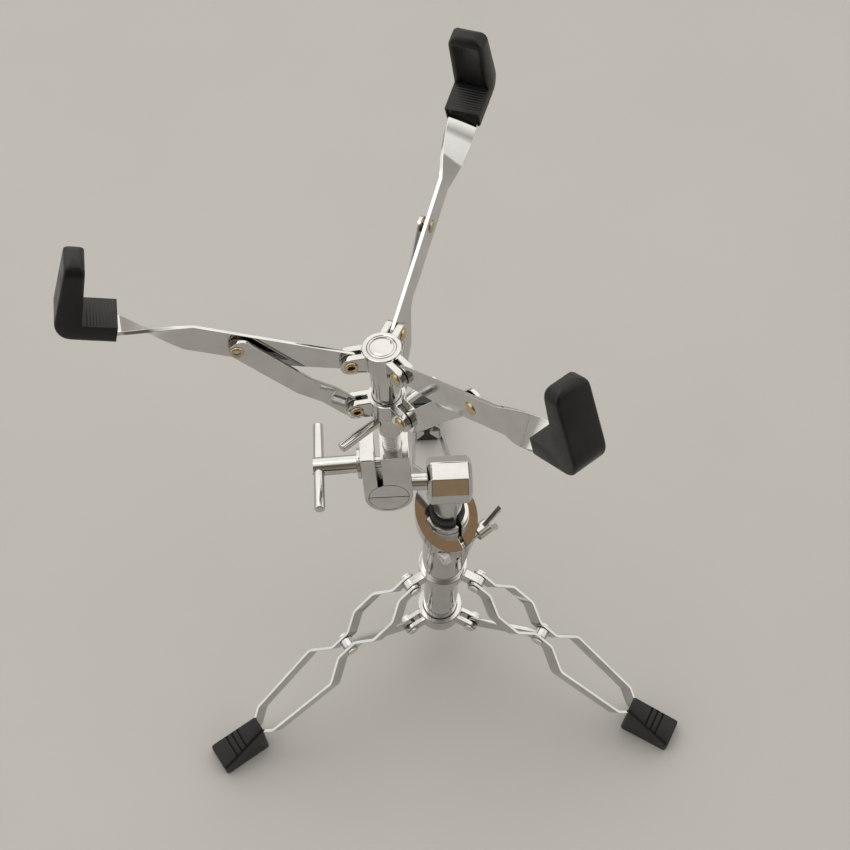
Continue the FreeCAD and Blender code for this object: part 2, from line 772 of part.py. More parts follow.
# Tilter block with its cross-bar bolt
def make_tilter_block():
    half = S.block_width / 2
    right = half - S.block_slot_offset
    body = fuse(block(S.block_width, S.block_depth, S.block_top), rod(half, S.block_depth, ALONG_Y))
    through = S.block_depth + S.overrun * 2
    tools = (
        rod(S.core_radius + S.fit_gap, through, ALONG_Y),
        block(S.block_slot_width, through, S.block_top + S.overrun, move(x=S.block_slot_offset)),
        cylinder(S.bolt_thread_radius + S.slide_gap, half + S.bolt_thread_depth + S.overrun,
                 move(x=-(half + S.overrun), z=S.bolt_height) * ALONG_X),
        cylinder(S.rod_radius + S.fit_gap, S.rod_socket_depth + S.overrun,
                 move(x=S.basket_offset, z=S.block_top - S.rod_socket_depth)),
        block(right, (S.shaft_radius + S.clear_gap * 2) * 2, S.window_half_height * 2,
              move(x=right / 2, z=-S.window_half_height)),
    )
    keep(cut(body, *tools), "tilter_block", tilter_frame)


def make_tilt_bolt():
    half = S.block_width / 2
    seat = half + S.clear_gap
    neck = seat + S.bolt_washer_height + S.fit_gap
    end = neck + S.bolt_grip_length
    bar_place = move(x=-(end - S.bolt_bar_inset), z=S.bolt_height) * ALONG_Y
    thread = S.bolt_thread_depth - S.clear_gap
    bolt = fuse(cylinder(S.bolt_grip_radius, S.bolt_grip_length, move(x=-end, z=S.bolt_height) * ALONG_X),
                cylinder(S.bolt_thread_radius, neck + thread, move(x=-neck, z=S.bolt_height) * ALONG_X))
    bar_hole = rod(S.bolt_bar_radius + S.fit_gap, S.bolt_bar_length, bar_place)
    keep(cut(bolt, bar_hole), "tilt_bolt", tilter_frame)
    keep(rod(S.bolt_bar_radius, S.bolt_bar_length), "tilt_bolt_bar",
         tilter_frame * bar_place * move(z=-S.bolt_bar_length / 2))
    washer = cut(cylinder(S.bolt_washer_radius, S.bolt_washer_height),
                 hole_through(S.bolt_thread_radius + S.fit_gap, S.bolt_washer_height))
    keep(washer, "tilt_bolt_washer", tilter_frame * move(x=-(neck - S.fit_gap), z=S.bolt_height) * ALONG_X)


# Basket post: threaded rod, tube and cap
basket_frame = tilter_frame * move(x=S.basket_offset, z=S.basket_rise)
post_radius = S.basket_tube_outer / 2
arm_azimuths = [float(S.arm_azimuth) + ARM_STEP * step for step in range(len(SIDES))]
arm_collar_rise = S.arm_pivot_drop
strut_collar_foot = S.strut_pivot_drop - S.collar_ear_radius + S.collar_height
post_foot = strut_collar_foot - S.post_foot_inset


def make_post():
    bore = post_radius - S.basket_tube_wall
    rod_foot = S.block_top - S.rod_socket_depth + S.fit_gap
    rod_head = S.basket_rise - post_foot + S.rod_seat
    keep(cylinder(S.rod_radius, rod_head - rod_foot), "basket_rod",
         tilter_frame * move(x=S.basket_offset, z=rod_foot))
    length = post_foot - S.cap_height - S.fit_gap
    tube = cut(cylinder(post_radius, length),
               cylinder(S.rod_radius + S.fit_gap, S.rod_seat + S.overrun, move(z=-S.overrun)),
               cylinder(bore, length, move(z=S.rod_seat)))
    keep(tube, "basket_tube", basket_frame * move(z=-post_foot))
    spigot = cylinder(bore - S.fit_gap, S.cap_spigot, move(z=-S.cap_spigot))
    cap = fuse(cylinder(post_radius, S.cap_height), spigot)
    keep(cap, "tube_cap", basket_frame * move(z=-S.cap_height))


# Basket collars with their pins
arm_slot = S.arm_thickness + S.clear_gap * 2


def make_basket_collars():
    drops = (("arm_hub", "arm_pins", S.arm_pivot_drop, arm_collar_rise, S.fit_gap),
             ("strut_hub", "strut_pins", S.strut_pivot_drop, S.collar_ear_radius, S.slide_gap))
    for collar_node, pin_node, drop, rise, gap in drops:
        collar = eared_collar(S.collar_radius, post_radius + gap, S.collar_height, rise,
                              S.basket_pivot_radius, arm_slot, S.collar_ear_wall, S.collar_ear_radius,
                              S.basket_pin_radius, arm_azimuths)
        keep(collar, collar_node, basket_frame * move(z=-drop))
        length = arm_slot + S.collar_ear_wall * 2 + S.fit_gap * 2
        pins = [headed_pin(S.basket_pin_radius, length, around(azimuth) * move(x=S.basket_pivot_radius))
                for azimuth in arm_azimuths]
        keep(group(*pins), pin_node, basket_frame * move(z=-drop))


# Basket nut with its washer and cross bar
def make_basket_nut():
    washer = cut(cylinder(S.washer_radius, S.washer_height),
                 hole_through(S.rod_radius + S.clear_gap, S.washer_height))
    washer_foot = strut_collar_foot + S.clear_gap + S.washer_height
    keep(washer, "thrust_washer", basket_frame * move(z=-washer_foot))
    height = S.nut_flange_height + S.nut_body_height
    body = fuse(prism(HEX_SIDES, S.nut_flange_radius, S.nut_flange_height, move(z=-S.nut_flange_height)),
                cylinder(S.nut_body_radius, S.nut_body_height, move(z=-height)))
    tools = [hole_through(S.rod_radius + S.slide_gap, height, -height)]
    bars = []
    length = S.nut_bar_length / 2 - S.nut_bar_root
    for side in (0.0, QUARTER_TURN * 2):
        root = move(x=S.nut_bar_root, z=-S.nut_flange_height / 2)
        place = around(S.nut_bar_azimuth + side) * root * ALONG_X
        tools.append(cylinder(S.nut_bar_radius + S.fit_gap, length, place))
        bars.append(cylinder(S.nut_bar_radius, length, place))
    nut_place = basket_frame * move(z=-(washer_foot + S.clear_gap))
    keep(cut(body, *tools), "basket_nut", nut_place)
    keep(group(*bars), "nut_bars", nut_place)


# Basket arms, struts and rubber tips
def arm_frame(azimuth):
    """Frame at an arm's pivot: X outwards, Y to the strut's side, Z along the post."""
    return basket_frame * move(z=-S.arm_pivot_drop) * around(azimuth) * move(x=S.basket_pivot_radius)


def arm_stations():
    """Placements along the arm where its section turns from upright to flat."""
    slope = float(S.arm_slope_angle)
    place = turn(Y_AXIS, -slope) * move(z=-S.arm_hole_rise)
    stations = [place, place * move(x=S.arm_straight)]
    lift = turn(Y_AXIS, -S.arm_twist_angle) * move(x=S.arm_twist_length / TWIST_STEPS)
    for step in range(1, TWIST_STEPS + 1):
        base = stations[-1].Base + lift.Base
        eased = slope + (float(S.arm_tip_angle) - slope) * step / TWIST_STEPS
        stations.append(FreeCAD.Placement(base, turn(Y_AXIS, -eased).Rotation))
    return stations + [stations[-1] * move(x=S.arm_plate_length)]


def section_wire(place, twist):
    """Rectangle across the arm at one station."""
    half = float(S.arm_thickness) / 2
    rise = float(S.arm_tall) / 2
    corners = ((-half, -rise), (half, -rise), (half, rise), (-half, rise), (-half, -rise))
    frame = place * turn(X_AXIS, -twist)
    return Part.makePolygon([frame.multVec(FreeCAD.Vector(0, y, z)) for y, z in corners])


def make_arm(side, azimuth):
    stations = arm_stations()
    turns = [QUARTER_TURN * step / TWIST_STEPS for step in range(TWIST_STEPS + 1)]
    twists = [0.0] + turns + [QUARTER_TURN]
    strip = doc.addObject("Part::Feature", "ArmStrip")
    strip.Shape = Part.makeLoft([section_wire(*pair) for pair in zip(stations, twists)], True, True)
    eye = rod(S.arm_tall / 2 - S.arm_hole_rise, S.arm_thickness, ALONG_Y)
    tools = (rod(S.basket_pin_radius + S.slide_gap, S.arm_tall, ALONG_Y),
             rod(S.rivet_radius + S.fit_gap, S.arm_tall, arm_rivet_place()),
             arm_heel(stations[0]))
    keep(cut(fuse(strip, eye), *tools), f"{side}_arm", arm_frame(azimuth))


def arm_heel(start):
    """Cut that narrows the arm's lower edge towards its hub end."""
    depth = S.arm_hole_rise * 2
    fall = math.degrees(math.atan2(float(depth), float(S.arm_heel_length)))
    edge = start * move(z=depth - S.arm_tall / 2) * turn(Y_AXIS, fall)
    return block(S.arm_heel_length * 2, S.arm_tall, S.arm_tall, edge * move(z=-S.arm_tall))


def arm_rivet_place():
    """Frame of the arm's rivet in the arm's own frame, its Z axis towards the strut."""
    return arm_stations()[0] * move(x=S.arm_rivet_reach) * ALONG_Y


def make_arm_rivet(side, azimuth):
    half = S.arm_thickness / 2
    reach = half + S.strut_spacing - S.clear_gap
    shank = half + S.fit_gap
    rivet = fuse(cylinder(S.rivet_head_radius, S.rivet_head_height, move(z=-(shank + S.rivet_head_height))),
                 cylinder(S.rivet_radius, shank + reach, move(z=-shank)),
                 cylinder(S.spacer_radius, reach - half - S.fit_gap, move(z=half + S.fit_gap)))
    keep(rivet, f"{side}_arm_rivet", arm_frame(azimuth) * arm_rivet_place())


# Line between a strut's two holes at rest
slope_angle = math.radians(float(S.arm_slope_angle))
strut_out = S.arm_rivet_reach * math.cos(slope_angle) + S.arm_hole_rise * math.sin(slope_angle)
strut_up = (S.arm_rivet_reach * math.sin(slope_angle) - S.arm_hole_rise * math.cos(slope_angle)
            + S.strut_pivot_drop - S.arm_pivot_drop)
strut_length = hypotenuse(strut_out, strut_up)
strut_slope = math.degrees(math.atan2(float(strut_up), float(strut_out)))
strut_tilt = S.strut_hub_hole_rise + S.strut_arm_hole_drop
strut_cant = math.degrees(math.atan2(float(strut_tilt), float(strut_length)))
strut_side = S.arm_thickness / 2 + S.strut_spacing + S.strut_thickness / 2


def strut_frame(azimuth):
    """Frame at a strut's pivot: X towards the strut's other hole, Y sideways."""
    return (basket_frame * move(z=-S.strut_pivot_drop) * around(azimuth) * move(x=S.basket_pivot_radius)
            * turn(Y_AXIS, -strut_slope))


def make_strut(side, azimuth):
    points = [(0, 0), (S.strut_joggle_start, 0), (S.strut_joggle_end, strut_side),
              (strut_length + S.strut_end, strut_side)]
    bar = bent_bar("Strut", points, S.strut_bend_radius, S.strut_thickness, S.strut_tall)
    bar.Placement = move(z=-S.strut_hub_hole_rise) * turn(Y_AXIS, -strut_cant)
    eye = rod(S.strut_tall / 2 - S.strut_hub_hole_rise, S.strut_thickness, ALONG_Y)
    end = move(x=strut_length, y=strut_side)
    holes = (rod(S.basket_pin_radius + S.slide_gap, S.strut_tall, ALONG_Y),
             rod(S.rivet_radius + S.fit_gap, S.strut_tall, end * ALONG_Y))
    frame = strut_frame(azimuth)
    keep(cut(fuse(bar, eye), *holes), f"{side}_strut", frame)
    shank = S.strut_thickness
    rivet = fuse(cylinder(S.rivet_radius, shank, move(z=-shank)),
                 cylinder(S.rivet_head_radius, S.rivet_head_height))
    keep(rivet, f"{side}_strut_rivet", frame * end * ALONG_Y * move(z=S.strut_thickness / 2 + S.fit_gap))


def tip_side_view():
    """Tip as its side outline gives it, over its whole width."""
    inner = S.tip_length - S.tip_wall
    flare = (S.tip_rise - S.tip_shelf) * math.tan(math.radians(float(S.tip_flare_angle)))
    body = new_body("TipSide")
    outline = sketch_on(body, "XZ_Plane")
    brow = inner + flare
    closed_outline(outline, [(0, -S.tip_drop), (S.tip_length, -S.tip_drop),
                             (brow + S.tip_crown_wall, S.tip_rise), (brow, S.tip_rise),
                             (inner, S.tip_shelf), (0, S.tip_shelf)],
                   {TIP_HEEL: S.tip_heel_radius, TIP_CROWN: S.tip_crown_radius, TIP_BROW: S.tip_crown_radius})
    pad = body.newObject("PartDesign::Pad", "Pad")
    pad.Profile = outline
    pad.SideType = "Symmetric"
    bind(pad, Length=S.tip_width)
    return body


def tip_front_view():
    """Bar along the tip with the rounded outline that the tip shows from its front."""
    half = S.tip_width / 2
    body = new_body("TipFront")
    outline = sketch_on(body, "YZ_Plane")
    closed_outline(outline, [(-half, -S.tip_drop), (half, -S.tip_drop), (half, S.tip_rise), (-half, S.tip_rise)],
                   {**dict.fromkeys(TIP_SOLES, S.tip_sole_radius),
                    **dict.fromkeys(TIP_SHOULDERS, S.tip_shoulder_radius)})
    pad = body.newObject("PartDesign::Pad", "Pad")
    pad.Profile = outline
    pad.SideType = "Symmetric"
    bind(pad, Length=(S.tip_length + S.overrun) * 2)
    return body


def make_tip(side, azimuth):
    frame = arm_frame(azimuth) * arm_stations()[-2] * move(x=S.tip_start)
    depth = S.arm_plate_length - S.tip_start + S.slide_gap
    pocket = block(depth + S.overrun, S.arm_tall + S.slide_gap * 2, S.arm_thickness + S.slide_gap * 2,
                   move(x=(depth - S.overrun) / 2, z=-(S.arm_thickness / 2 + S.slide_gap)))
    keep(cut(common(tip_side_view(), tip_front_view()), pocket), f"{side}_tip", frame)


def make_basket():
    for side, azimuth in zip(SIDES, arm_azimuths):
        make_arm(side, azimuth)
        make_arm_rivet(side, azimuth)
        make_strut(side, azimuth)
        make_tip(side, azimuth)


def write_parts():
    """Stops on any failed object, then writes each piece to its own file."""
    doc.recompute()
    for item in doc.Objects:
        if "Invalid" in item.State or "Error" in item.State:
            raise RuntimeError(f"{item.Name} failed: {item.State}")
    for item in pieces:
        if item.Shape.isNull() or not item.Shape.isValid():
            raise RuntimeError(f"{item.Label} has no valid shape")
    os.makedirs("parts", exist_ok=True)
    for item in pieces:
        item.Shape.exportStep(os.path.join("parts", f"{item.Label}.step"))
    print(f"{len(pieces)} pieces written")


make_leg_hub()
make_height_clamp()
make_clamp_bushing()
make_wing_bolt()
make_base_tube()
make_legs()
make_column()
make_barrel()
make_shaft()
make_core_half("tilt_half_upper", 0.0)
make_core_half("tilt_half_lower", QUARTER_TURN * 2)
make_tilter_block()
make_tilt_bolt()
make_post()
make_basket_collars()
make_basket_nut()
make_basket()
write_parts()
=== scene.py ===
"""Looks of a snare drum stand: chrome tripod, clamped column, tilter and basket with rubber tips.

Metres, +Z up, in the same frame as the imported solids. Sizes of the pieces are in millimetres.
"""
import logging
import math
from dataclasses import dataclass
from enum import Enum

import bmesh
import bpy
from mathutils import Matrix, Vector


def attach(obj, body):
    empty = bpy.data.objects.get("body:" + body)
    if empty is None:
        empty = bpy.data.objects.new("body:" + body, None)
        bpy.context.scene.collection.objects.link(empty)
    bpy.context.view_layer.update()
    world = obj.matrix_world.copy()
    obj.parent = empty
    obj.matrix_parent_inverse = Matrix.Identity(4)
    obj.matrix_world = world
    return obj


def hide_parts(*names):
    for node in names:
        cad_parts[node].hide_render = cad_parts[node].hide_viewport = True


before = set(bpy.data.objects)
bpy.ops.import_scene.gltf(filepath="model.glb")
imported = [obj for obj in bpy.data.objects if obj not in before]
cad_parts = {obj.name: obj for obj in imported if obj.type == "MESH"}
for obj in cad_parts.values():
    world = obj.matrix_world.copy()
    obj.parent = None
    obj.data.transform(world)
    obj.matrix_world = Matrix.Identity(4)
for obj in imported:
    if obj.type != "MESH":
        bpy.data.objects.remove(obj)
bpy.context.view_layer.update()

log = logging.getLogger("snare_stand")

MM = 0.001
FULL_TURN = 2 * math.pi
LATHE_STEPS = 64
BAR_STEPS = 48
RIVET_STEPS = 40
PIN_STEPS = 32
BEND_SEGMENTS = 5
DOUBLE = 0.001
NEAR = 0.01
SLICE_NEAR = 0.0001
WELD = 0.002
FLAT_ANGLE = 1.0
EASE_ANGLE = 40.0
SMOOTH_ANGLE = 50.0
MIX_FIRST, MIX_SECOND, MIX_RESULT = 6, 7, 2
NOISE_ROUGHNESS = 0.55
PHOTO_SIDE = 850.0
SENSOR = 36.0

Colour = tuple[float, float, float]
Point2 = tuple[float, float]
Point3 = tuple[float, float, float]


class Side(Enum):
    """The three directions that the legs and the arms take round the stand."""

    LEFT = "left"
    RIGHT = "right"
    BACK = "back"

    @property
    def step(self) -> int:
        """Number of thirds of a turn from the left side."""
        return list(Side).index(self)


class Axis(Enum):
    """Axes that a frame can turn about."""

    X = "X"
    Y = "Y"
    Z = "Z"


def moved(x: float = 0.0, y: float = 0.0, z: float = 0.0) -> Matrix:
    """Shift by x, y and z."""
    return Matrix.Translation((x, y, z))


def turned(axis: Axis, degrees: float) -> Matrix:
    """Turn about an axis through the origin."""
    return Matrix.Rotation(math.radians(degrees), 4, axis.value)


ALONG_Y = turned(Axis.X, -90.0)


@dataclass(frozen=True)
class Layout:
    """Where the joints of the stand lie, in millimetres and degrees."""

    pivot_radius: float = 31.0
    leg_height: float = 152.0
    brace_height: float = 52.0
    knee_radius: float = 92.0
    leg_azimuth: float = -150.0
    tilt_offset: float = 43.2
    tilt_height: float = 322.5
    lean: float = -12.5
    roll: float = -3.0
    basket_offset: float = 5.7
    basket_rise: float = 146.5
    arm_azimuth: float = -174.3
    arm_radius: float = 21.0
    arm_drop: float = 8.5
    strut_drop: float = 54.0
    third: float = 120.0

    @property
    def knee(self) -> Point2:
        """How far out and down a leg's knee lies from its pivot."""
        return self.knee_radius - self.pivot_radius, (self.leg_height - self.brace_height) / 2

    @property
    def leg_slope(self) -> float:
        """Angle of the legs below the level, in degrees."""
        out, down = self.knee
        return math.degrees(math.atan2(down, out))

    @property
    def link(self) -> float:
        """Distance from a leg's pivot to its knee."""
        return math.hypot(*self.knee)

    def leg_turn(self, side: Side) -> Matrix:
        """Turn whose X axis points along a leg."""
        return turned(Axis.Z, self.leg_azimuth + self.third * side.step)

    def leg(self, side: Side) -> Matrix:
        """Frame at a leg's pivot, X along the leg and Y sideways."""
        return (self.leg_turn(side) @ moved(self.pivot_radius, 0, self.leg_height)
                @ turned(Axis.Y, self.leg_slope))

    def tilter(self) -> Matrix:
        """Frame of the tilter block."""
        return (moved(-self.tilt_offset, 0, self.tilt_height) @ turned(Axis.X, self.lean)
                @ turned(Axis.Y, self.roll))

    def basket(self) -> Matrix:
        """Frame at the top of the basket's post."""
        return self.tilter() @ moved(self.basket_offset, 0, self.basket_rise)

    def collar(self, side: Side, drop: float) -> Matrix:
        """Frame at a pin of one of the basket's collars."""
        azimuth = self.arm_azimuth + self.third * side.step
        return self.basket() @ moved(z=-drop) @ turned(Axis.Z, azimuth) @ moved(self.arm_radius)

    def arm(self, side: Side) -> Matrix:
        """Frame at an arm's pivot, X outwards and Y towards the strut."""
        return self.collar(side, self.arm_drop)


LAYOUT = Layout()


class Nodes:
    """Short calls that add and link shader nodes of one tree."""

    def __init__(self, tree: bpy.types.NodeTree) -> None:
        """Takes the tree that the nodes go into."""
        self.tree = tree

    def add(self, kind: str, **sockets: object) -> bpy.types.Node:
        """Adds a node.

        Args:
            kind: Blender's name of the node type.
            sockets: values or output sockets for its inputs, with _ for a space.

        Returns:
            The new node.
        """
        node = self.tree.nodes.new(kind)
        for name, value in sockets.items():
            self.put(node.inputs[name.replace("_", " ")], value)
        return node

    def put(self, socket: bpy.types.NodeSocket, value: object) -> None:
        """Links an output to a socket, or sets the socket's own value.

        Args:
            socket: the input to fill.
            value: an output socket, or a plain value.
        """
        if isinstance(value, bpy.types.NodeSocket):
            self.tree.links.new(value, socket)
        else:
            socket.default_value = value

    def place(self) -> bpy.types.NodeSocket:
        """Object coordinates of the surface."""
        return self.add("ShaderNodeTexCoord").outputs["Object"]

    def noise(self, place: object, scale: float, detail: float = 3.0) -> bpy.types.NodeSocket:
        """Noise of a given number of cells per metre."""
        node = self.add("ShaderNodeTexNoise", Vector=place, Scale=scale, Detail=detail,
                        Roughness=NOISE_ROUGHNESS)
        return node.outputs["Fac"]

    def span(self, value: object, low: float, high: float, to_low: float, to_high: float) -> object:
        """Value taken from one range to another, with its ends held."""
        node = self.add("ShaderNodeMapRange", Value=value, From_Min=low, From_Max=high, To_Min=to_low,
                        To_Max=to_high)
        return node.outputs["Result"]

    def blend(self, share: object, first: object, second: object) -> bpy.types.NodeSocket:
        """Colour between two colours.

        Args:
            share: how much of the second colour there is, from 0 to 1.
            first: a colour, or an output socket that gives one.
            second: a colour, or an output socket that gives one.

        Returns:
            The socket of the blended colour.
        """
        node = self.tree.nodes.new("ShaderNodeMix")
        node.data_type = "RGBA"
        self.put(node.inputs[0], share)
        for index, colour in ((MIX_FIRST, first), (MIX_SECOND, second)):
            linked = isinstance(colour, bpy.types.NodeSocket)
            self.put(node.inputs[index], colour if linked else (*colour, 1.0))
        return node.outputs[MIX_RESULT]

    def bump(self, height: object, strength: float, distance: float, under: object = None) -> object:
        """Surface normal raised by a height.

        Args:
            height: the socket that gives the height.
            strength: how much of it shows, from 0 to 1.
            distance: what a height of 1 stands for, in metres.
            under: the normal of another bump that lies under it, if any.

        Returns:
            The socket of the raised normal.
        """
        node = self.add("ShaderNodeBump", Height=height, Strength=strength, Distance=distance)
        if under is not None:
            self.put(node.inputs["Normal"], under)
        return node.outputs["Normal"]


@dataclass(frozen=True)
class Metal:
    """A metal finish with hazy patches, fine pits and a fine orange-peel ripple."""

    name: str
    slot: str
    colour: Colour
    haze_colour: Colour
    smooth: float
    hazy: float
    peel: float
    haze_scale: float = 55.0
    haze_span: Point2 = (0.42, 0.72)
    peel_scale: float = 700.0
    peel_height: float = 0.0002
    pit_scale: float = 2800.0
    pit_detail: float = 1.0
    pit_span: Point2 = (0.70, 0.75)
    pit_shade: float = 0.78
    pit_bump: float = 0.12
    pit_height: float = 0.0001

    def material(self) -> bpy.types.Material:
        """Builds the finish, or returns it if it has been built.

        Returns:
            The node material of this finish.
        """
        if self.name in bpy.data.materials:
            return bpy.data.materials[self.name]
        material = bpy.data.materials.new(self.name)
        material.use_nodes = True
        nodes = Nodes(material.node_tree)
        shader = material.node_tree.nodes["Principled BSDF"]
        place = nodes.place()
        haze = nodes.span(nodes.noise(place, self.haze_scale), *self.haze_span, 0.0, 1.0)
        pits = nodes.span(nodes.noise(place, self.pit_scale, self.pit_detail), *self.pit_span, 0.0, 1.0)
        clean = nodes.blend(haze, self.colour, self.haze_colour)
        pitted = tuple(self.pit_shade * channel for channel in self.colour)
        nodes.put(shader.inputs["Base Color"], nodes.blend(pits, clean, pitted))
        shader.inputs["Metallic"].default_value = 1.0
        nodes.put(shader.inputs["Roughness"], nodes.span(haze, 0.0, 1.0, self.smooth, self.hazy))
        peel = nodes.bump(nodes.noise(place, self.peel_scale), self.peel, self.peel_height)
        nodes.put(shader.inputs["Normal"], nodes.bump(pits, self.pit_bump, self.pit_height, peel))
        return material


@dataclass(frozen=True)
class Rubber:
    """Moulded black rubber or nylon: fine grain, rubbed patches and a little dust."""

    name: str
    slot: str
    colour: Colour
    rubbed: Colour
    smooth: float
    dull: float
    grain: float
    grain_scale: float = 1900.0
    grain_detail: float = 2.0
    grain_height: float = 0.0003
    sheen: float = 0.3
    patch_scale: float = 70.0
    patch_detail: float = 5.0
    patch_span: Point2 = (0.45, 0.70)
    patch_bump: float = 0.08
    patch_height: float = 0.0006
    dust_scale: float = 900.0
    dust_detail: float = 4.0
    dust_span: Point2 = (0.66, 0.78)
    dust_share: float = 0.55
    dust_shade: float = 3.2

    def material(self) -> bpy.types.Material:
        """Builds the finish, or returns it if it has been built.

        Returns:
            The node material of this finish.
        """
        if self.name in bpy.data.materials:
            return bpy.data.materials[self.name]
        material = bpy.data.materials.new(self.name)
        material.use_nodes = True
        nodes = Nodes(material.node_tree)
        shader = material.node_tree.nodes["Principled BSDF"]
        place = nodes.place()
        rubbing = nodes.noise(place, self.patch_scale, self.patch_detail)
        patch = nodes.span(rubbing, *self.patch_span, 0.0, 1.0)
        specks = nodes.noise(place, self.dust_scale, self.dust_detail)
        dust = nodes.span(specks, *self.dust_span, 0.0, self.dust_share)
        worn = nodes.blend(patch, self.colour, self.rubbed)
        dusty = tuple(self.dust_shade * channel for channel in self.rubbed)
        nodes.put(shader.inputs["Base Color"], nodes.blend(dust, worn, dusty))
        nodes.put(shader.inputs["Roughness"], nodes.span(patch, 0.0, 1.0, self.smooth, self.dull))
        shader.inputs["Specular IOR Level"].default_value = self.sheen
        pores = nodes.noise(place, self.grain_scale, self.grain_detail)
        grain = nodes.bump(pores, self.grain, self.grain_height)
        nodes.put(shader.inputs["Normal"], nodes.bump(patch, self.patch_bump, self.patch_height, grain))
        return material


CHROME = Metal(name="chrome_plate", slot="chrome", colour=(0.57, 0.57, 0.565),
               haze_colour=(0.51, 0.51, 0.50), smooth=0.045, hazy=0.13, peel=0.02)
CAST_CHROME = Metal(name="cast_chrome_plate", slot="cast_chrome", colour=(0.57, 0.565, 0.555),
                    haze_colour=(0.50, 0.495, 0.48), smooth=0.07, hazy=0.18, peel=0.04)
BRIGHT_STEEL = Metal(name="bright_steel", slot="bright_steel", colour=(0.56, 0.55, 0.53),
                     haze_colour=(0.47, 0.455, 0.43), smooth=0.16, hazy=0.30, peel=0.06)
BRASS = Metal(name="passivated_rivet", slot="brass_rivet", colour=(0.60, 0.47, 0.28),
              haze_colour=(0.50, 0.42, 0.30), smooth=0.17, hazy=0.34, peel=0.05)
RUBBER = Rubber(name="black_rubber", slot="rubber", colour=(0.007, 0.007, 0.0075),
                rubbed=(0.014, 0.0135, 0.013), smooth=0.32, dull=0.5, grain=0.12)
NYLON = Rubber(name="black_nylon", slot="black_nylon", colour=(0.014, 0.014, 0.015),
               rubbed=(0.022, 0.022, 0.022), smooth=0.42, dull=0.6, grain=0.1)


class Blank:
    """A mesh under construction, in millimetres in its own frame."""

    def __init__(self) -> None:
        """Starts with an empty mesh."""
        self.mesh = bmesh.new()

    def wire(self, points: list[Point3]) -> list[bmesh.types.BMEdge]:
        """Chain of edges through points.

        Args:
            points: places of the chain's vertices.

        Returns:
            The chain's edges in order.
        """
        verts = [self.mesh.verts.new(point) for point in points]
        return [self.mesh.edges.new(pair) for pair in zip(verts, verts[1:])]

    def lathe(self, profile: list[Point2], steps: int = LATHE_STEPS) -> None:
        """Spins a profile of radius and height about Z.

        Args:
            profile: corners of the half section.
            steps: sides of the round.
        """
        edges = self.wire([(radius, 0.0, height) for radius, height in profile])
        verts = {vert for edge in edges for vert in edge.verts}
        bmesh.ops.spin(self.mesh, geom=[*verts, *edges], cent=(0, 0, 0), axis=(0, 0, 1), dvec=(0, 0, 0),
                       angle=FULL_TURN, steps=steps, use_merge=True, use_normal_flip=False,
                       use_duplicate=False)
        self.merge()

    def merge(self) -> None:
        """Joins doubled vertices and turns the faces outwards."""
        bmesh.ops.remove_doubles(self.mesh, verts=self.mesh.verts[:], dist=DOUBLE)
        bmesh.ops.recalc_face_normals(self.mesh, faces=self.mesh.faces[:])

    def soften(self, width: float, segments: int, limit: float = 35.0) -> None:
        """Rounds every edge whose faces meet at more than a limit.

        Args:
            width: size of the round.
            segments: faces across it.
            limit: least angle in degrees.
        """
        least = math.radians(limit)
        sharp = [edge for edge in self.mesh.edges
                 if len(edge.link_faces) == 2 and edge.calc_face_angle() > least]
        self.round(sharp, width, segments)

    def round(self, edges: list[bmesh.types.BMEdge], width: float, segments: int) -> None:
        """Rounds the given edges."""
        bmesh.ops.bevel(self.mesh, geom=edges, offset=width, offset_type="OFFSET", affect="EDGES",
                        segments=segments, profile=0.5, material=-1, clamp_overlap=True)

    def round_corner(self, vert: bmesh.types.BMVert, setback: float, segments: int) -> None:
        """Rounds one corner of a sheet or a chain of edges."""
        bmesh.ops.bevel(self.mesh, geom=[vert], offset=setback, offset_type="OFFSET", affect="VERTICES",
                        segments=segments, profile=0.5, material=-1, clamp_overlap=True)

    def take(self, other: "Blank", place: Matrix) -> None:
        """Adds another mesh and frees it.

        Args:
            other: the mesh to add.
            place: its place in this mesh's frame.
        """
        other.mesh.transform(place)
        part = bpy.data.meshes.new("part")
        other.mesh.to_mesh(part)
        other.mesh.free()
        self.mesh.from_mesh(part)
        bpy.data.meshes.remove(part)

    def slice(self, faces: list[bmesh.types.BMFace], place: Vector, normal: Vector) -> None:
        """Cuts faces by a plane without removing anything.

        Args:
            faces: the faces to cut.
            place: a point of the plane.
            normal: the plane's normal.
        """
        edges = {edge for face in faces for edge in face.edges}
        verts = {vert for face in faces for vert in face.verts}
        bmesh.ops.bisect_plane(self.mesh, geom=[*faces, *edges, *verts], dist=SLICE_NEAR,
                               plane_co=place, plane_no=normal)

    def inset(self, faces: list[bmesh.types.BMFace], thickness: float, depth: float) -> None:
        """Draws in the border of a region of faces and raises the region by a depth, or sinks it."""
        bmesh.ops.inset_region(self.mesh, faces=faces, thickness=thickness, depth=depth,
                               use_even_offset=True)

    def finish(self, name: str, place: Matrix, coat: Metal | Rubber, body: str,
               node: str) -> bpy.types.Object:
        """Makes the object, sets it in its place and hands it to the frame.

        Args:
            name: the piece's name.
            place: its frame, in millimetres.
            coat: its finish.
            body: the body that it moves with.
            node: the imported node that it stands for.

        Returns:
            The finished object.
        """
        self.mesh.transform(Matrix.Scale(MM, 4) @ place)
        mesh = bpy.data.meshes.new(name)
        self.mesh.to_mesh(mesh)
        self.mesh.free()
        for face in mesh.polygons:
            face.use_smooth = True
        mesh.set_sharp_from_angle(angle=math.radians(SMOOTH_ANGLE))
        mesh.materials.append(coat.material())
        item = bpy.data.objects.new(name, mesh)
        bpy.context.scene.collection.objects.link(item)
        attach(item, body)
        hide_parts(node)
        log.info("%s: %d faces", name, len(mesh.polygons))
        return item


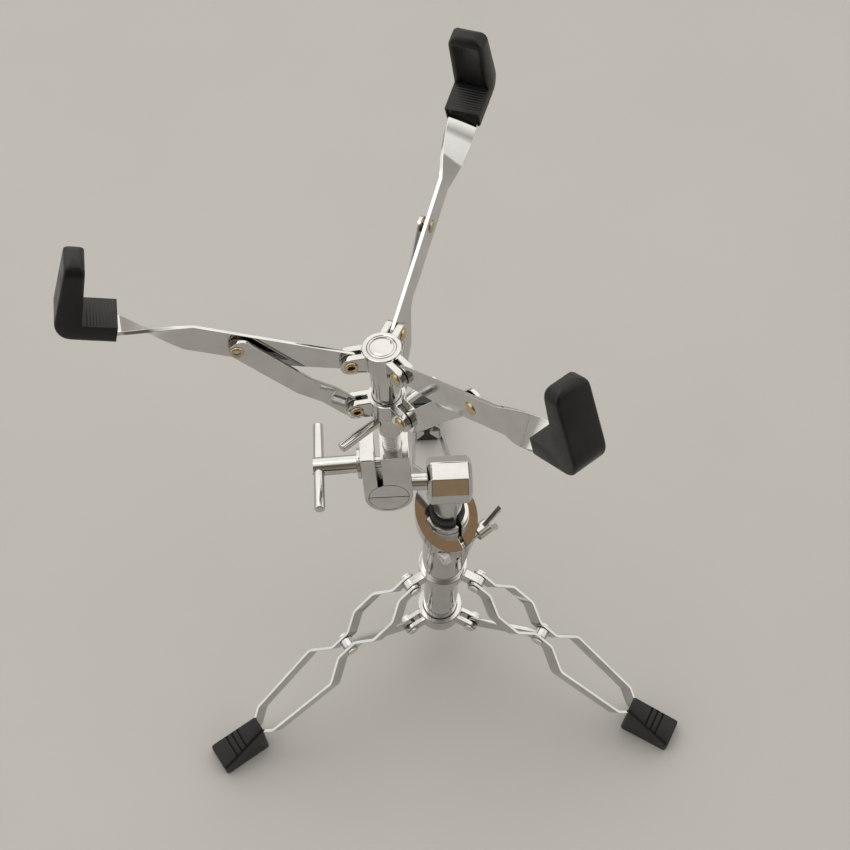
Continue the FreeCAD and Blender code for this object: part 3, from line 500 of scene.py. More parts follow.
def thicken(item: bpy.types.Object, thickness: float, edge: float) -> None:
    """Gives a sheet its thickness and rounds its edges.

    Args:
        item: the sheet.
        thickness: of the metal, in millimetres.
        edge: width of the rounded edges, in millimetres.
    """
    wall = item.modifiers.new("wall", "SOLIDIFY")
    wall.thickness = thickness * MM
    wall.offset = 0.0
    wall.use_even_offset = True
    ease(item, edge)


def ease(item: bpy.types.Object, edge: float, limit: float = EASE_ANGLE) -> None:
    """Rounds the sharp edges of a piece and keeps its flats flat in the light.

    Args:
        item: the piece.
        edge: width of the rounded edges, in millimetres.
        limit: least angle in degrees of an edge that is rounded.
    """
    bevel = item.modifiers.new("eased_edges", "BEVEL")
    bevel.width = edge * MM
    bevel.segments = 2
    bevel.limit_method = "ANGLE"
    bevel.angle_limit = math.radians(limit)
    bevel.use_clamp_overlap = False
    flats = item.modifiers.new("flat_faces", "WEIGHTED_NORMAL")
    flats.keep_sharp = True


def dress(node: str, coat: Metal | Rubber, edge: float, limit: float = EASE_ANGLE) -> None:
    """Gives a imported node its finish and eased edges.

    Args:
        node: its name.
        coat: its finish.
        edge: width of the eased edges, in millimetres.
        limit: least angle in degrees of an edge that is eased.
    """
    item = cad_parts[node]
    if not item.material_slots:
        item.data.materials.append(coat.material())
    for holder in item.material_slots:
        holder.material = coat.material()
    weld = item.modifiers.new("joined", "WELD")
    weld.merge_threshold = WELD * MM
    flats = item.modifiers.new("whole_flats", "DECIMATE")
    flats.decimate_type = "DISSOLVE"
    flats.angle_limit = math.radians(FLAT_ANGLE)
    ease(item, edge, limit)
    log.info("%s: %s", node, coat.name)


@dataclass
class Legs:
    """Double-strip legs with their rubber feet."""

    strip_thickness: float = 2.6
    strip_tall: float = 12.0
    strip_edge: float = 0.35
    eye_play: float = 0.02
    eye_segments: int = 7
    bend_radius: float = 7.0
    near_offset: float = 5.1
    upper_offset: float = 14.5
    lower_offset: float = 17.0
    end_offset: float = 12.0
    boot_offset: float = 3.2
    end_height: float = 15.1
    grip: float = 19.6
    upper_shares: tuple[float, ...] = (0.178, 0.383, 0.685, 0.89)
    lower_shares: tuple[float, ...] = (0.086, 0.229, 0.764, 0.866)
    foot_length: float = 43.0
    foot_inner: Point3 = (25.0, 14.0, 38.0)
    foot_outer: Point3 = (28.0, 25.0, 13.0)
    foot_edge: float = 2.2
    foot_segments: int = 4
    top_facing: float = 0.72
    groove_shares: tuple[float, ...] = (0.42, 0.54, 0.66)
    groove_width: float = 2.3
    groove_depth: float = 1.3
    groove_reach: float = 0.45

    @property
    def strip_length(self) -> float:
        """Length of a strip from its pivot to its end in the foot."""
        return (LAYOUT.leg_height - self.end_height) / math.sin(math.radians(LAYOUT.leg_slope))

    def strip_path(self, mirror: int) -> list[Point2]:
        """Bends of a strip.

        Args:
            mirror: 1 for the strip on one side of the leg and -1 for the other.

        Returns:
            Distance along the leg and offset to the side of each bend.
        """
        link, rest = LAYOUT.link, self.strip_length - LAYOUT.link
        reaches = [link * share for share in self.upper_shares]
        reaches += [link + rest * share for share in self.lower_shares]
        offsets = (self.near_offset, self.upper_offset, self.upper_offset, self.near_offset,
                   self.near_offset, self.lower_offset, self.end_offset, self.boot_offset)
        path = [(-self.strip_tall / 2, self.near_offset * mirror)]
        path += [(reach, offset * mirror) for reach, offset in zip(reaches, offsets)]
        return path + [(self.strip_length, self.boot_offset * mirror)]

    def build_strip(self, side: Side, mirror: int, number: int) -> None:
        """Makes one bent strip with a round eye at its pivot.

        Args:
            side: the leg that it belongs to.
            mirror: 1 or -1, the side of the leg that it is on.
            number: of the strip's node.
        """
        blank = Blank()
        bent_sheet(blank, self.strip_path(mirror), self.bend_radius, self.strip_tall)
        ends = [vert for vert in blank.mesh.verts if vert.co.x < -self.strip_tall / 2 + NEAR]
        for vert in ends:
            blank.round_corner(vert, self.strip_tall / 2 - self.eye_play, self.eye_segments)
        node = f"{side.value}_leg_strip_{number}"
        strip = blank.finish(f"{node}_bent", LAYOUT.leg(side), CHROME, f"{side.value}_leg", node)
        thicken(strip, self.strip_thickness, self.strip_edge)

    def foot_corners(self) -> list[Point3]:
        """Corners of one half of the foot.

        Returns:
            Reach, half width and level of each corner, inner end first.
        """
        corners = []
        for reach, (base, top, height) in ((0.0, self.foot_inner), (self.foot_length, self.foot_outer)):
            corners += [(reach, base / 2, 0.0), (reach, top / 2, height)]
        return corners

    def build_foot(self, side: Side) -> None:
        """Makes a wedge-shaped rubber foot with three grooves across its top.

        Args:
            side: the leg that it belongs to.
        """
        blank = Blank()
        bmesh.ops.create_cube(blank.mesh, size=1.0)
        corners = self.foot_corners()
        for vert in blank.mesh.verts:
            reach, half, level = corners[2 * (vert.co.x > 0) + (vert.co.z > 0)]
            vert.co = (reach, half if vert.co.y > 0 else -half, level)
        blank.soften(self.foot_edge, self.foot_segments)
        blank.merge()
        fall = Vector((self.foot_length, 0.0, self.foot_outer[2] - self.foot_inner[2])).normalized()
        slope = Vector((-fall.z, 0.0, fall.x))
        for share in self.groove_shares:
            self.cut_groove(blank, share, fall, slope)
        reach = (self.strip_length - self.grip) * math.cos(math.radians(LAYOUT.leg_slope))
        place = LAYOUT.leg_turn(side) @ moved(LAYOUT.pivot_radius + reach)
        node = f"{side.value}_foot"
        blank.finish(f"{node}_rubber", place, RUBBER, f"{side.value}_leg", node)

    def cut_groove(self, blank: Blank, share: float, fall: Vector, slope: Vector) -> None:
        """Sinks one groove across the top of a foot.

        Args:
            blank: the foot.
            share: place of the groove along the foot, from 0 to 1.
            fall: direction down the top.
            slope: the top's normal.
        """
        middle = self.foot_length * share
        level = self.foot_inner[2] + (self.foot_outer[2] - self.foot_inner[2]) * share
        centre = Vector((middle, 0.0, level))
        for way in (-0.5, 0.5):
            blank.slice(self.top_faces(blank, slope), centre + fall * self.groove_width * way, fall)
        reach = self.groove_width * self.groove_reach
        inside = [face for face in self.top_faces(blank, slope)
                  if abs((face.calc_center_median() - centre).dot(fall)) < reach]
        made = bmesh.ops.extrude_face_region(blank.mesh, geom=inside)
        sunk = [item for item in made["geom"] if isinstance(item, bmesh.types.BMVert)]
        bmesh.ops.delete(blank.mesh, geom=inside, context="FACES")
        bmesh.ops.translate(blank.mesh, verts=sunk, vec=slope * -self.groove_depth)

    def top_faces(self, blank: Blank, slope: Vector) -> list[bmesh.types.BMFace]:
        """Faces of a foot's top and of its rounded edges."""
        return [face for face in blank.mesh.faces if face.normal.dot(slope) > self.top_facing]

    def build(self) -> None:
        """Builds all three legs and dresses what stays of their nodes."""
        for side in Side:
            self.build_strip(side, 1, 1)
            self.build_strip(side, -1, 2)
            self.build_foot(side)
            dress(f"{side.value}_knee_rivet", BRIGHT_STEEL, edge=0.4)
            dress(f"{side.value}_brace", CHROME, edge=0.35)


def bent_sheet(blank: Blank, path: list[Point2], radius: float, tall: float) -> None:
    """Upright sheet that follows a bent line with rounded bends.

    Args:
        blank: the mesh to add to.
        path: corners of the line in the XY plane.
        radius: of the bends.
        tall: height of the sheet, half of it below the line.
    """
    edges = blank.wire([(x, y, -tall / 2) for x, y in path])
    inner = [edge.verts[1] for edge in edges[:-1]]
    corners = [Vector((x, y)) for x, y in path]
    for vert, before, corner, after in zip(inner, corners, corners[1:], corners[2:]):
        bend = (corner - before).angle(after - corner)
        blank.round_corner(vert, radius * math.tan(bend / 2), BEND_SEGMENTS)
    made = bmesh.ops.extrude_edge_only(blank.mesh, edges=blank.mesh.edges[:])
    raised = [item for item in made["geom"] if isinstance(item, bmesh.types.BMVert)]
    bmesh.ops.translate(blank.mesh, verts=raised, vec=(0.0, 0.0, tall))
    blank.merge()


@dataclass
class Basket:
    """Arms, struts, rivets and rubber tips of the basket."""

    arm_slope: float = 26.5
    arm_thickness: float = 2.6
    arm_tall: float = 20.0
    strip_edge: float = 0.35
    eye_play: float = 0.02
    eye_segments: int = 7
    quarter: float = 90.0
    arm_hole_rise: float = 3.0
    arm_heel: float = 40.0
    arm_straight: float = 106.0
    twist_length: float = 44.6
    twist_slope: float = 27.3
    twist_end: float = 8.0
    tip_slope: float = 17.0
    plate_length: float = 27.0
    twist_steps: int = 24
    rivet_reach: float = 75.5
    strut_thickness: float = 2.6
    strut_tall: float = 15.0
    strut_spacing: float = 2.4
    strut_hub_rise: float = 3.0
    strut_arm_drop: float = 2.5
    strut_end: float = 6.0
    strut_flat: float = 0.6
    strut_segments: int = 6
    joggle: Point2 = (22.0, 46.0)
    joggle_radius: float = 10.0
    rivet_head: float = 4.6
    dome_profile: tuple[Point2, ...] = (
        (0.0, -0.3), (0.96, -0.3), (1.0, 0.25), (0.93, 0.62),
        (0.76, 1.1), (0.5, 1.479), (0.25, 1.649), (0.0, 1.7))
    roll_profile: tuple[Point2, ...] = (
        (0.55, -0.2), (0.98, -0.2), (1.0, 0.35), (0.9, 0.95),
        (0.76, 1.35), (0.64, 1.4), (0.53, 1.1), (0.48, 0.5))
    roll_shank: float = 0.55
    roll_bore: float = 0.46
    roll_floor: float = 0.4
    pin_span: float = 12.5
    pin_wall: float = 3.6
    pin_shank: float = 2.3
    spacer_radius: float = 5.1
    spacer_gap: float = 0.3
    spacer_sink: float = 0.2
    tip_start: float = 1.0
    tip_width: float = 24.0
    tip_drop: float = 4.5
    tip_shelf: float = 10.0
    tip_length: float = 38.0
    tip_wall: float = 17.0
    tip_crown: float = 11.5
    tip_rise: float = 56.5
    tip_flare: float = 2.0
    heel_radius: float = 14.0
    crown_radius: float = 5.5
    shoulder_radius: float = 9.0
    sole_radius: float = 4.0
    draw_steps: int = 7
    corner_segments: int = 9
    tip_edge: float = 1.4
    edge_segments: int = 3
    upright_edge: float = 4.2
    upright_segments: int = 5
    side_angle: float = 60.0
    side_facing: float = 0.98
    recess_facing: float = 0.997
    recess_rim: float = 1.6
    recess_wall: float = 0.9
    recess_depth: float = 0.8
    shelf_facing: float = 0.99
    shelf_near: float = 0.1
    rib_count: int = 9
    rib_margins: Point2 = (1.6, 2.4)
    rib_area: float = 10.0
    rib_foot: float = 0.3
    rib_flank: float = 0.35
    rib_height: float = 0.3
    mouth_facing: float = 0.95
    mouth_reach: float = 0.5
    mouth_area: float = 4.0
    mouth_lip: float = 0.9
    mouth_wall: float = 0.4
    mouth_depth: float = 1.4

    def arm_end(self) -> Matrix:
        """Where the arm's flat plate starts.

        Returns:
            The frame at the plate's foot, in the arm's frame.
        """
        start = turned(Axis.Y, -self.arm_slope) @ moved(self.arm_straight, 0, -self.arm_hole_rise)
        lift = turned(Axis.Y, -self.twist_slope) @ Vector((self.twist_length, 0, 0))
        return moved(*(start.translation + lift)) @ turned(Axis.Y, -self.tip_slope)

    def arm_stations(self) -> list[tuple[Matrix, float, float, float]]:
        """Sections along the arm.

        Returns:
            Frame, lower edge, upper edge and twist in degrees of each section.
        """
        half = self.arm_tall / 2
        start = turned(Axis.Y, -self.arm_slope) @ moved(z=-self.arm_hole_rise)
        eye_low = 2 * self.arm_hole_rise - half
        rows = [(start @ moved(self.arm_hole_rise - half), eye_low, half, 0.0),
                (start, eye_low, half, 0.0),
                (start @ moved(self.arm_heel), -half, half, 0.0),
                (start @ moved(self.arm_straight), -half, half, 0.0)]
        base = rows[-1][0].translation.copy()
        lift = turned(Axis.Y, -self.twist_slope) @ Vector((self.twist_length, 0, 0))
        full = self.twist_length + self.twist_end
        for step in range(1, self.twist_steps + 1):
            share = step / self.twist_steps
            slope = self.arm_slope + (self.tip_slope - self.arm_slope) * share
            place = moved(*(base + lift * share)) @ turned(Axis.Y, -slope)
            rows.append((place, -half, half, self.quarter * share * self.twist_length / full))
        for step in (self.twist_end, self.plate_length - self.twist_end):
            rows.append((rows[-1][0] @ moved(step), -half, half, self.quarter))
        return rows

    def build_arm(self, side: Side) -> None:
        """Makes one arm as a strip on edge with a quarter twist before its plate.

        Args:
            side: the arm's side.
        """
        blank = Blank()
        edge = None
        for place, low, high, twist in self.arm_stations():
            section = place @ turned(Axis.X, -twist)
            ends = [section @ Vector((0.0, 0.0, level)) for level in (low, high)]
            if edge is None:
                edge = blank.wire(ends)[0]
                first = list(edge.verts)
                continue
            made = bmesh.ops.extrude_edge_only(blank.mesh, edges=[edge])["geom"]
            edge = next(item for item in made if isinstance(item, bmesh.types.BMEdge)
                        and all(vert in made for vert in item.verts))
            self.set_edge(edge, ends)
        for vert in first:
            setback = self.arm_tall / 2 - self.arm_hole_rise - self.eye_play
            blank.round_corner(vert, setback, self.eye_segments)
        blank.merge()
        node = f"{side.value}_arm"
        arm = blank.finish(f"{node}_strip", LAYOUT.arm(side), CHROME, node, node)
        thicken(arm, self.arm_thickness, self.strip_edge)

    @staticmethod
    def set_edge(edge: bmesh.types.BMEdge, ends: list[Vector]) -> None:
        """Moves the ends of an edge to two places without turning it round.

        Args:
            edge: the edge to move.
            ends: the two places.
        """
        first, second = edge.verts
        straight = (first.co - ends[0]).length + (second.co - ends[1]).length
        crossed = (first.co - ends[1]).length + (second.co - ends[0]).length
        first.co, second.co = ends if straight <= crossed else ends[::-1]

    @property
    def strut_line(self) -> Vector:
        """Line between a strut's holes.

        Returns:
            How far out and up the arm's hole lies from the hub's.
        """
        slope = math.radians(self.arm_slope)
        out = self.rivet_reach * math.cos(slope) + self.arm_hole_rise * math.sin(slope)
        rise = self.rivet_reach * math.sin(slope) - self.arm_hole_rise * math.cos(slope)
        return Vector((out, rise + LAYOUT.strut_drop - LAYOUT.arm_drop))

    @property
    def strut_side(self) -> float:
        """Offset of a strut's outer end from the arm's middle plane."""
        return self.arm_thickness / 2 + self.strut_spacing + self.strut_thickness / 2

    def strut_frame(self, side: Side) -> Matrix:
        """Frame at a strut's hub hole, X towards its other hole."""
        slope = math.degrees(math.atan2(self.strut_line.y, self.strut_line.x))
        return LAYOUT.collar(side, LAYOUT.strut_drop) @ turned(Axis.Y, -slope)

    def build_strut(self, side: Side) -> None:
        """Makes one joggled strut with round ends.

        Args:
            side: the arm that it holds up.
        """
        length = self.strut_line.length
        cant = math.degrees(math.atan2(self.strut_hub_rise + self.strut_arm_drop, length))
        hub_eye = self.strut_tall / 2 - self.strut_hub_rise
        path = [(-hub_eye, 0.0), (self.joggle[0], 0.0), (self.joggle[1], self.strut_side),
                (length + self.strut_end, self.strut_side)]
        blank = Blank()
        bent_sheet(blank, path, self.joggle_radius, self.strut_tall)
        for vert in [vert for vert in blank.mesh.verts if vert.co.x < NEAR - hub_eye]:
            blank.round_corner(vert, hub_eye, self.strut_segments)
        for vert in [vert for vert in blank.mesh.verts if vert.co.x > length + self.strut_end - NEAR]:
            blank.round_corner(vert, self.strut_tall / 2 - self.strut_flat, self.strut_segments)
        node = f"{side.value}_strut"
        place = self.strut_frame(side) @ moved(z=-self.strut_hub_rise) @ turned(Axis.Y, -cant)
        strut = blank.finish(f"{node}_strip", place, CHROME, node, node)
        thicken(strut, self.strut_thickness, self.strip_edge)

    def dome(self, blank: Blank, level: float, way: float) -> None:
        """Adds a solid domed rivet head.

        Args:
            blank: the mesh to add to.
            level: of the face that the head lies on, along Z.
            way: 1 for a head that looks up and -1 for one that looks down.
        """
        self.turn_head(blank, list(self.dome_profile), level, way)

    def eyelet(self, blank: Blank, level: float, way: float, depth: float) -> None:
        """Adds a rolled rivet end with a hollow middle.

        Args:
            blank: the mesh to add to.
            level: of the face that the end lies on, along Z.
            way: 1 for an end that looks up and -1 for one that looks down.
            depth: of the hollow below that face.
        """
        base = -depth - self.roll_floor
        profile = [(0.0, base), (self.roll_shank, base), *self.roll_profile,
                   (self.roll_bore, -depth), (0.0, -depth)]
        self.turn_head(blank, profile, level, way)

    def turn_head(self, blank: Blank, profile: list[Point2], level: float, way: float) -> None:
        """Spins a rivet's end from shares of its radius and heights over a level."""
        points = [(self.rivet_head * share, level + way * height) for share, height in profile]
        blank.lathe(points, RIVET_STEPS)

    def build_rivets(self, side: Side) -> None:
        """Makes the arm's domed rivet with its spacer and the strut's rolled end.

        Args:
            side: the arm's side.
        """
        half = self.arm_thickness / 2
        arm_place = (LAYOUT.arm(side) @ turned(Axis.Y, -self.arm_slope)
                     @ moved(self.rivet_reach, 0, -self.arm_hole_rise) @ ALONG_Y)
        blank = Blank()
        self.dome(blank, -half, -1.0)
        spacer = half + self.strut_spacing - self.spacer_gap
        seat, radius = half - self.spacer_sink, self.spacer_radius
        blank.lathe([(0.0, seat), (radius, seat), (radius, spacer), (0.0, spacer)], RIVET_STEPS)
        blank.merge()
        arm_node = f"{side.value}_arm_rivet"
        blank.finish(f"{arm_node}_head", arm_place, BRASS, f"{side.value}_arm", arm_node)
        blank = Blank()
        self.eyelet(blank, self.strut_thickness / 2, 1.0, self.strut_thickness)
        strut_node = f"{side.value}_strut_rivet"
        place = self.strut_frame(side) @ moved(self.strut_line.length, self.strut_side) @ ALONG_Y
        blank.finish(f"{strut_node}_end", place, BRASS, f"{side.value}_strut", strut_node)

    def build_pins(self, drop: float, node: str, body: str) -> None:
        """Makes the pins of one collar, each with a dome at one end and a hollow at the other.

        Args:
            drop: of the collar below the top of the post.
            node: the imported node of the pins.
            body: the body that the collar belongs to.
        """
        pins = Blank()
        half = self.pin_span / 2
        shank_end = half - self.pin_wall
        for side in Side:
            pin = Blank()
            self.dome(pin, -half, -1.0)
            self.eyelet(pin, half, 1.0, self.pin_wall)
            shank = self.pin_shank
            pin.lathe([(0.0, -half), (shank, -half), (shank, shank_end), (0.0, shank_end)], PIN_STEPS)
            pins.take(pin, LAYOUT.collar(side, drop) @ ALONG_Y)
        pins.finish(f"{node}_riveted", Matrix.Identity(4), BRASS, body, node)

    def tip_outline(self) -> list[Point2]:
        """Side outline of a tip.

        Returns:
            Its corners, from the foot of its mouth round to its shelf.
        """
        inner = self.tip_length - self.tip_wall
        brow = inner + (self.tip_rise - self.tip_shelf) * math.tan(math.radians(self.tip_flare))
        return [(0.0, -self.tip_drop), (self.tip_length, -self.tip_drop),
                (brow + self.tip_crown, self.tip_rise), (brow, self.tip_rise), (inner, self.tip_shelf),
                (0.0, self.tip_shelf)]

    def build_tip(self, side: Side) -> None:
        """Makes one rubber tip: ribbed shelf, upright with a recessed face, and a rounded crown.

        Args:
            side: the arm that carries it.
        """
        blank = Blank()
        half = self.tip_width / 2
        corners = [blank.mesh.verts.new((x, -half, z)) for x, z in self.tip_outline()]
        blank.mesh.faces.new(corners)
        for index, radius in ((1, self.heel_radius), (2, self.crown_radius), (3, self.crown_radius)):
            blank.round_corner(corners[index], self.setback(index, radius), self.corner_segments)
        made = bmesh.ops.extrude_face_region(blank.mesh, geom=blank.mesh.faces[:])["geom"]
        far = [item for item in made if isinstance(item, bmesh.types.BMVert)]
        bmesh.ops.translate(blank.mesh, verts=far, vec=(0.0, self.tip_width, 0.0))
        blank.merge()
        upright = self.side_edges(blank, self.tip_length - self.tip_wall)
        blank.round(upright, self.upright_edge, self.upright_segments)
        blank.round(self.side_edges(blank, -1.0), self.tip_edge, self.edge_segments)
        self.draw_in(blank, self.tip_rise - self.shoulder_radius, self.shoulder_radius, 1.0)
        self.draw_in(blank, self.sole_radius - self.tip_drop, self.sole_radius, -1.0)
        blank.merge()
        self.sink_face(blank)
        self.rib_shelf(blank)
        self.open_mouth(blank)
        node = f"{side.value}_tip"
        place = LAYOUT.arm(side) @ self.arm_end() @ moved(self.tip_start)
        blank.finish(f"{node}_rubber", place, RUBBER, f"{side.value}_arm", node)

    def setback(self, index: int, radius: float) -> float:
        """Distance from a corner of a tip's outline to where its rounding starts.

        Args:
            index: of the corner.
            radius: of the rounding.

        Returns:
            The distance along both sides.
        """
        outline = [Vector(point) for point in self.tip_outline()]
        before, corner, after = outline[index - 1], outline[index], outline[(index + 1) % len(outline)]
        return radius * math.tan((corner - before).angle(after - corner) / 2)

    def side_edges(self, blank: Blank, start: float) -> list[bmesh.types.BMEdge]:
        """Sharp edges of a tip's two sides.

        Args:
            blank: the tip.
            start: reach along the arm that they lie beyond.

        Returns:
            The edges.
        """
        least = math.radians(self.side_angle)
        return [edge for edge in blank.mesh.edges
                if len(edge.link_faces) == 2 and edge.calc_face_angle() > least
                and any(abs(face.normal.y) > self.side_facing for face in edge.link_faces)
                and min(vert.co.x for vert in edge.verts) > start - NEAR
                and max(vert.co.x for vert in edge.verts) > start + NEAR]

    def draw_in(self, blank: Blank, level: float, radius: float, way: float) -> None:
        """Rounds the corners that the tip shows from its front, above or below a level.

        Args:
            blank: the tip.
            level: height at which the rounding starts.
            radius: of the corners.
            way: 1 for the corners above the level and -1 for those below.
        """
        steps, half = self.draw_steps, self.tip_width / 2
        for step in range(steps):
            rise = radius * math.sin(step / steps * math.pi / 2)
            blank.slice(blank.mesh.faces[:], Vector((0, 0, level + way * rise)), Vector((0, 0, 1)))
        for vert in blank.mesh.verts:
            rise = min((vert.co.z - level) * way, radius)
            if rise > 0:
                vert.co.y *= (half - radius + math.sqrt(radius ** 2 - rise ** 2)) / half

    def sink_face(self, blank: Blank) -> None:
        """Sinks a shallow recess in the upright's inner face.

        Args:
            blank: the tip.
        """
        brow = self.tip_rise - self.crown_radius
        inner = [face for face in blank.mesh.faces if face.normal.x < -self.recess_facing
                 and face.calc_center_median().x > self.tip_length / 3
                 and face.calc_center_median().z < brow]
        blank.inset(inner, self.recess_rim, 0.0)
        blank.inset(inner, self.recess_wall, -self.recess_depth)

    def rib_shelf(self, blank: Blank) -> None:
        """Raises fine ribs across the shelf that carries the rim.

        Args:
            blank: the tip.
        """
        first, last = self.rib_margins[0], self.tip_length - self.tip_wall - self.rib_margins[1]
        pitch = (last - first) / self.rib_count
        for index in range(self.rib_count + 1):
            place = Vector((first + pitch * index, 0, 0))
            blank.slice(self.shelf_faces(blank), place, Vector((1, 0, 0)))
        ribs = [face for face in self.shelf_faces(blank) if first < face.calc_center_median().x < last]
        for thickness, depth in ((self.rib_foot, 0.0), (self.rib_flank, self.rib_height)):
            bmesh.ops.inset_individual(blank.mesh, faces=ribs, thickness=thickness, depth=depth,
                                       use_even_offset=True)

    def shelf_faces(self, blank: Blank) -> list[bmesh.types.BMFace]:
        """Large level faces at the height of the shelf."""
        return [face for face in blank.mesh.faces
                if face.normal.z > self.shelf_facing and face.calc_area() > self.rib_area
                and abs(face.calc_center_median().z - self.tip_shelf) < self.shelf_near]

    def open_mouth(self, blank: Blank) -> None:
        """Sinks the end where the arm enters, which leaves a lip round it.

        Args:
            blank: the tip.
        """
        mouth = [face for face in blank.mesh.faces if face.normal.x < -self.mouth_facing
                 and face.calc_center_median().x < self.mouth_reach
                 and face.calc_area() > self.mouth_area]
        blank.inset(mouth, self.mouth_lip, 0.0)
        blank.inset(mouth, self.mouth_wall, -self.mouth_depth)

    def build(self) -> None:
        """Builds the basket's arms, struts, rivets and tips and dresses its collars."""
        for side in Side:
            self.build_arm(side)
            self.build_strut(side)
            self.build_rivets(side)
            self.build_tip(side)
        self.build_pins(LAYOUT.arm_drop, "arm_pins", "tilter")
        self.build_pins(LAYOUT.strut_drop, "strut_pins", "strut_hub")
        dress("arm_hub", CAST_CHROME, edge=0.6)
        dress("strut_hub", CAST_CHROME, edge=0.6)


@dataclass
class Post:
    """Threaded rod, tube, cap and nut that carry the basket."""

    rod_foot: float = 32.6
    rod_head: float = 106.4
    rod_radius: float = 6.4
    thread_pitch: float = 2.5
    thread_depth: float = 1.15
    root_share: float = 0.17
    crest_share: float = 0.36
    thread_steps: int = 28
    core_play: float = 0.02
    cap_profile: tuple[Point2, ...] = (
        (0.0, -6.0), (7.9, -6.0), (7.9, -2.0), (9.6, -2.0), (9.6, -0.5), (9.1, 0.0),
        (8.3, 0.0), (7.9, -0.55), (7.5, -0.05), (5.6, 0.12), (2.88, 0.25), (0.0, 0.27))

    def build_rod(self) -> None:
        """Makes the threaded rod by spinning one thread along it."""
        blank = Blank()
        low, pitch = self.rod_radius - self.thread_depth, self.thread_pitch
        turns = int((self.rod_head - self.rod_foot) / pitch) - 1
        root, crest = self.root_share * pitch, self.crest_share * pitch
        profile = [(low, 0.0), (low, root), (self.rod_radius, crest),
                   (self.rod_radius, pitch - crest), (low, pitch - root), (low, pitch)]
        edges = blank.wire([(radius, 0.0, self.rod_foot + height) for radius, height in profile])
        verts = {vert for edge in edges for vert in edge.verts}
        bmesh.ops.spin(blank.mesh, geom=[*verts, *edges], cent=(0, 0, 0), axis=(0, 0, 1),
                       dvec=(0, 0, pitch / self.thread_steps), angle=FULL_TURN * turns,
                       steps=self.thread_steps * turns, use_merge=False, use_normal_flip=False,
                       use_duplicate=False)
        blank.merge()
        core, foot, head = low - self.core_play, self.rod_foot, self.rod_head
        blank.lathe([(0.0, foot), (core, foot), (core, head), (0.0, head)], BAR_STEPS)
        place = LAYOUT.tilter() @ moved(LAYOUT.basket_offset)
        blank.finish("basket_rod_threaded", place, BRIGHT_STEEL, "tilter", "basket_rod")

    def build_cap(self) -> None:
        """Makes the shallow domed cap in the top of the tube."""
        blank = Blank()
        blank.lathe(list(self.cap_profile))
        blank.finish("tube_cap_domed", LAYOUT.basket(), CAST_CHROME, "tilter", "tube_cap")

    def build(self) -> None:
        """Builds the post's pieces and dresses the rest."""
        self.build_rod()
        self.build_cap()
        dress("basket_tube", CHROME, edge=0.4)
        dress("thrust_washer", BRIGHT_STEEL, edge=0.3)
        dress("basket_nut", CAST_CHROME, edge=0.5)
        dress("nut_bars", CHROME, edge=0.8)


@dataclass
class Tilter:
    """Barrel, shaft, split core, block and cross-bar bolt."""

    bolt_height: float = 25.4
    bolt_end: float = 50.85
    bar_radius: float = 3.7
    bar_length: float = 74.0
    bar_inset: float = 4.0
    bar_round: Point2 = (1.1, 0.35)

    def build_bar(self) -> None:
        """Makes the cross bar with rounded ends."""
        blank = Blank()
        half, radius = self.bar_length / 2, self.bar_radius
        wide, narrow = self.bar_round
        end = [(radius, half - wide), (radius - narrow, half - narrow),
               (radius - wide, half), (0.0, half)]
        blank.lathe([(reach, -level) for reach, level in reversed(end)] + end, BAR_STEPS)
        place = LAYOUT.tilter() @ moved(self.bar_inset - self.bolt_end, 0, self.bolt_height) @ ALONG_Y
        blank.finish("tilt_bolt_bar_round", place, CHROME, "tilt_bolt", "tilt_bolt_bar")

    def build(self) -> None:
        """Builds the cross bar and dresses the tilter's nodes."""
        self.build_bar()
        dress("tilt_bolt", CHROME, edge=0.6)
        dress("tilt_bolt_washer", CHROME, edge=0.4)
        dress("tilter_barrel", CAST_CHROME, edge=0.7)
        dress("tilter_shaft", CHROME, edge=0.3)
        dress("tilter_block", CAST_CHROME, edge=0.6)
        dress("tilt_half_upper", CAST_CHROME, edge=0.4)
        dress("tilt_half_lower", CAST_CHROME, edge=0.4)


@dataclass
class Column:
    """Column tubes, height clamp and the collars of the tripod."""

    cast_edge: float = 0.7
    rim_edge: float = 0.5
    rim_limit: float = 85.0
    wing_edge: float = 0.3

    def build(self) -> None:
        """Dresses the column's and the tripod's nodes."""
        for node in ("leg_hub", "brace_hub"):
            dress(node, CAST_CHROME, self.cast_edge)
        dress("height_clamp", CAST_CHROME, self.rim_edge, self.rim_limit)
        dress("clamp_bolt", CAST_CHROME, self.wing_edge, self.rim_limit)
        for node in ("base_tube", "column_tube"):
            dress(node, CHROME, edge=0.2)
        for node in ("leg_pins", "brace_pins", "clamp_nut"):
            dress(node, BRIGHT_STEEL, edge=0.4)
        for node in ("clamp_bushing", "column_plug"):
            dress(node, NYLON, edge=0.3)


@dataclass(frozen=True)
class Glow:
    """A soft patch of the room round the stand.

    It starts and is full where the cosine of the angle from its middle has these values.
    """

    way: Point3
    start: float
    full: float
    colour: Colour


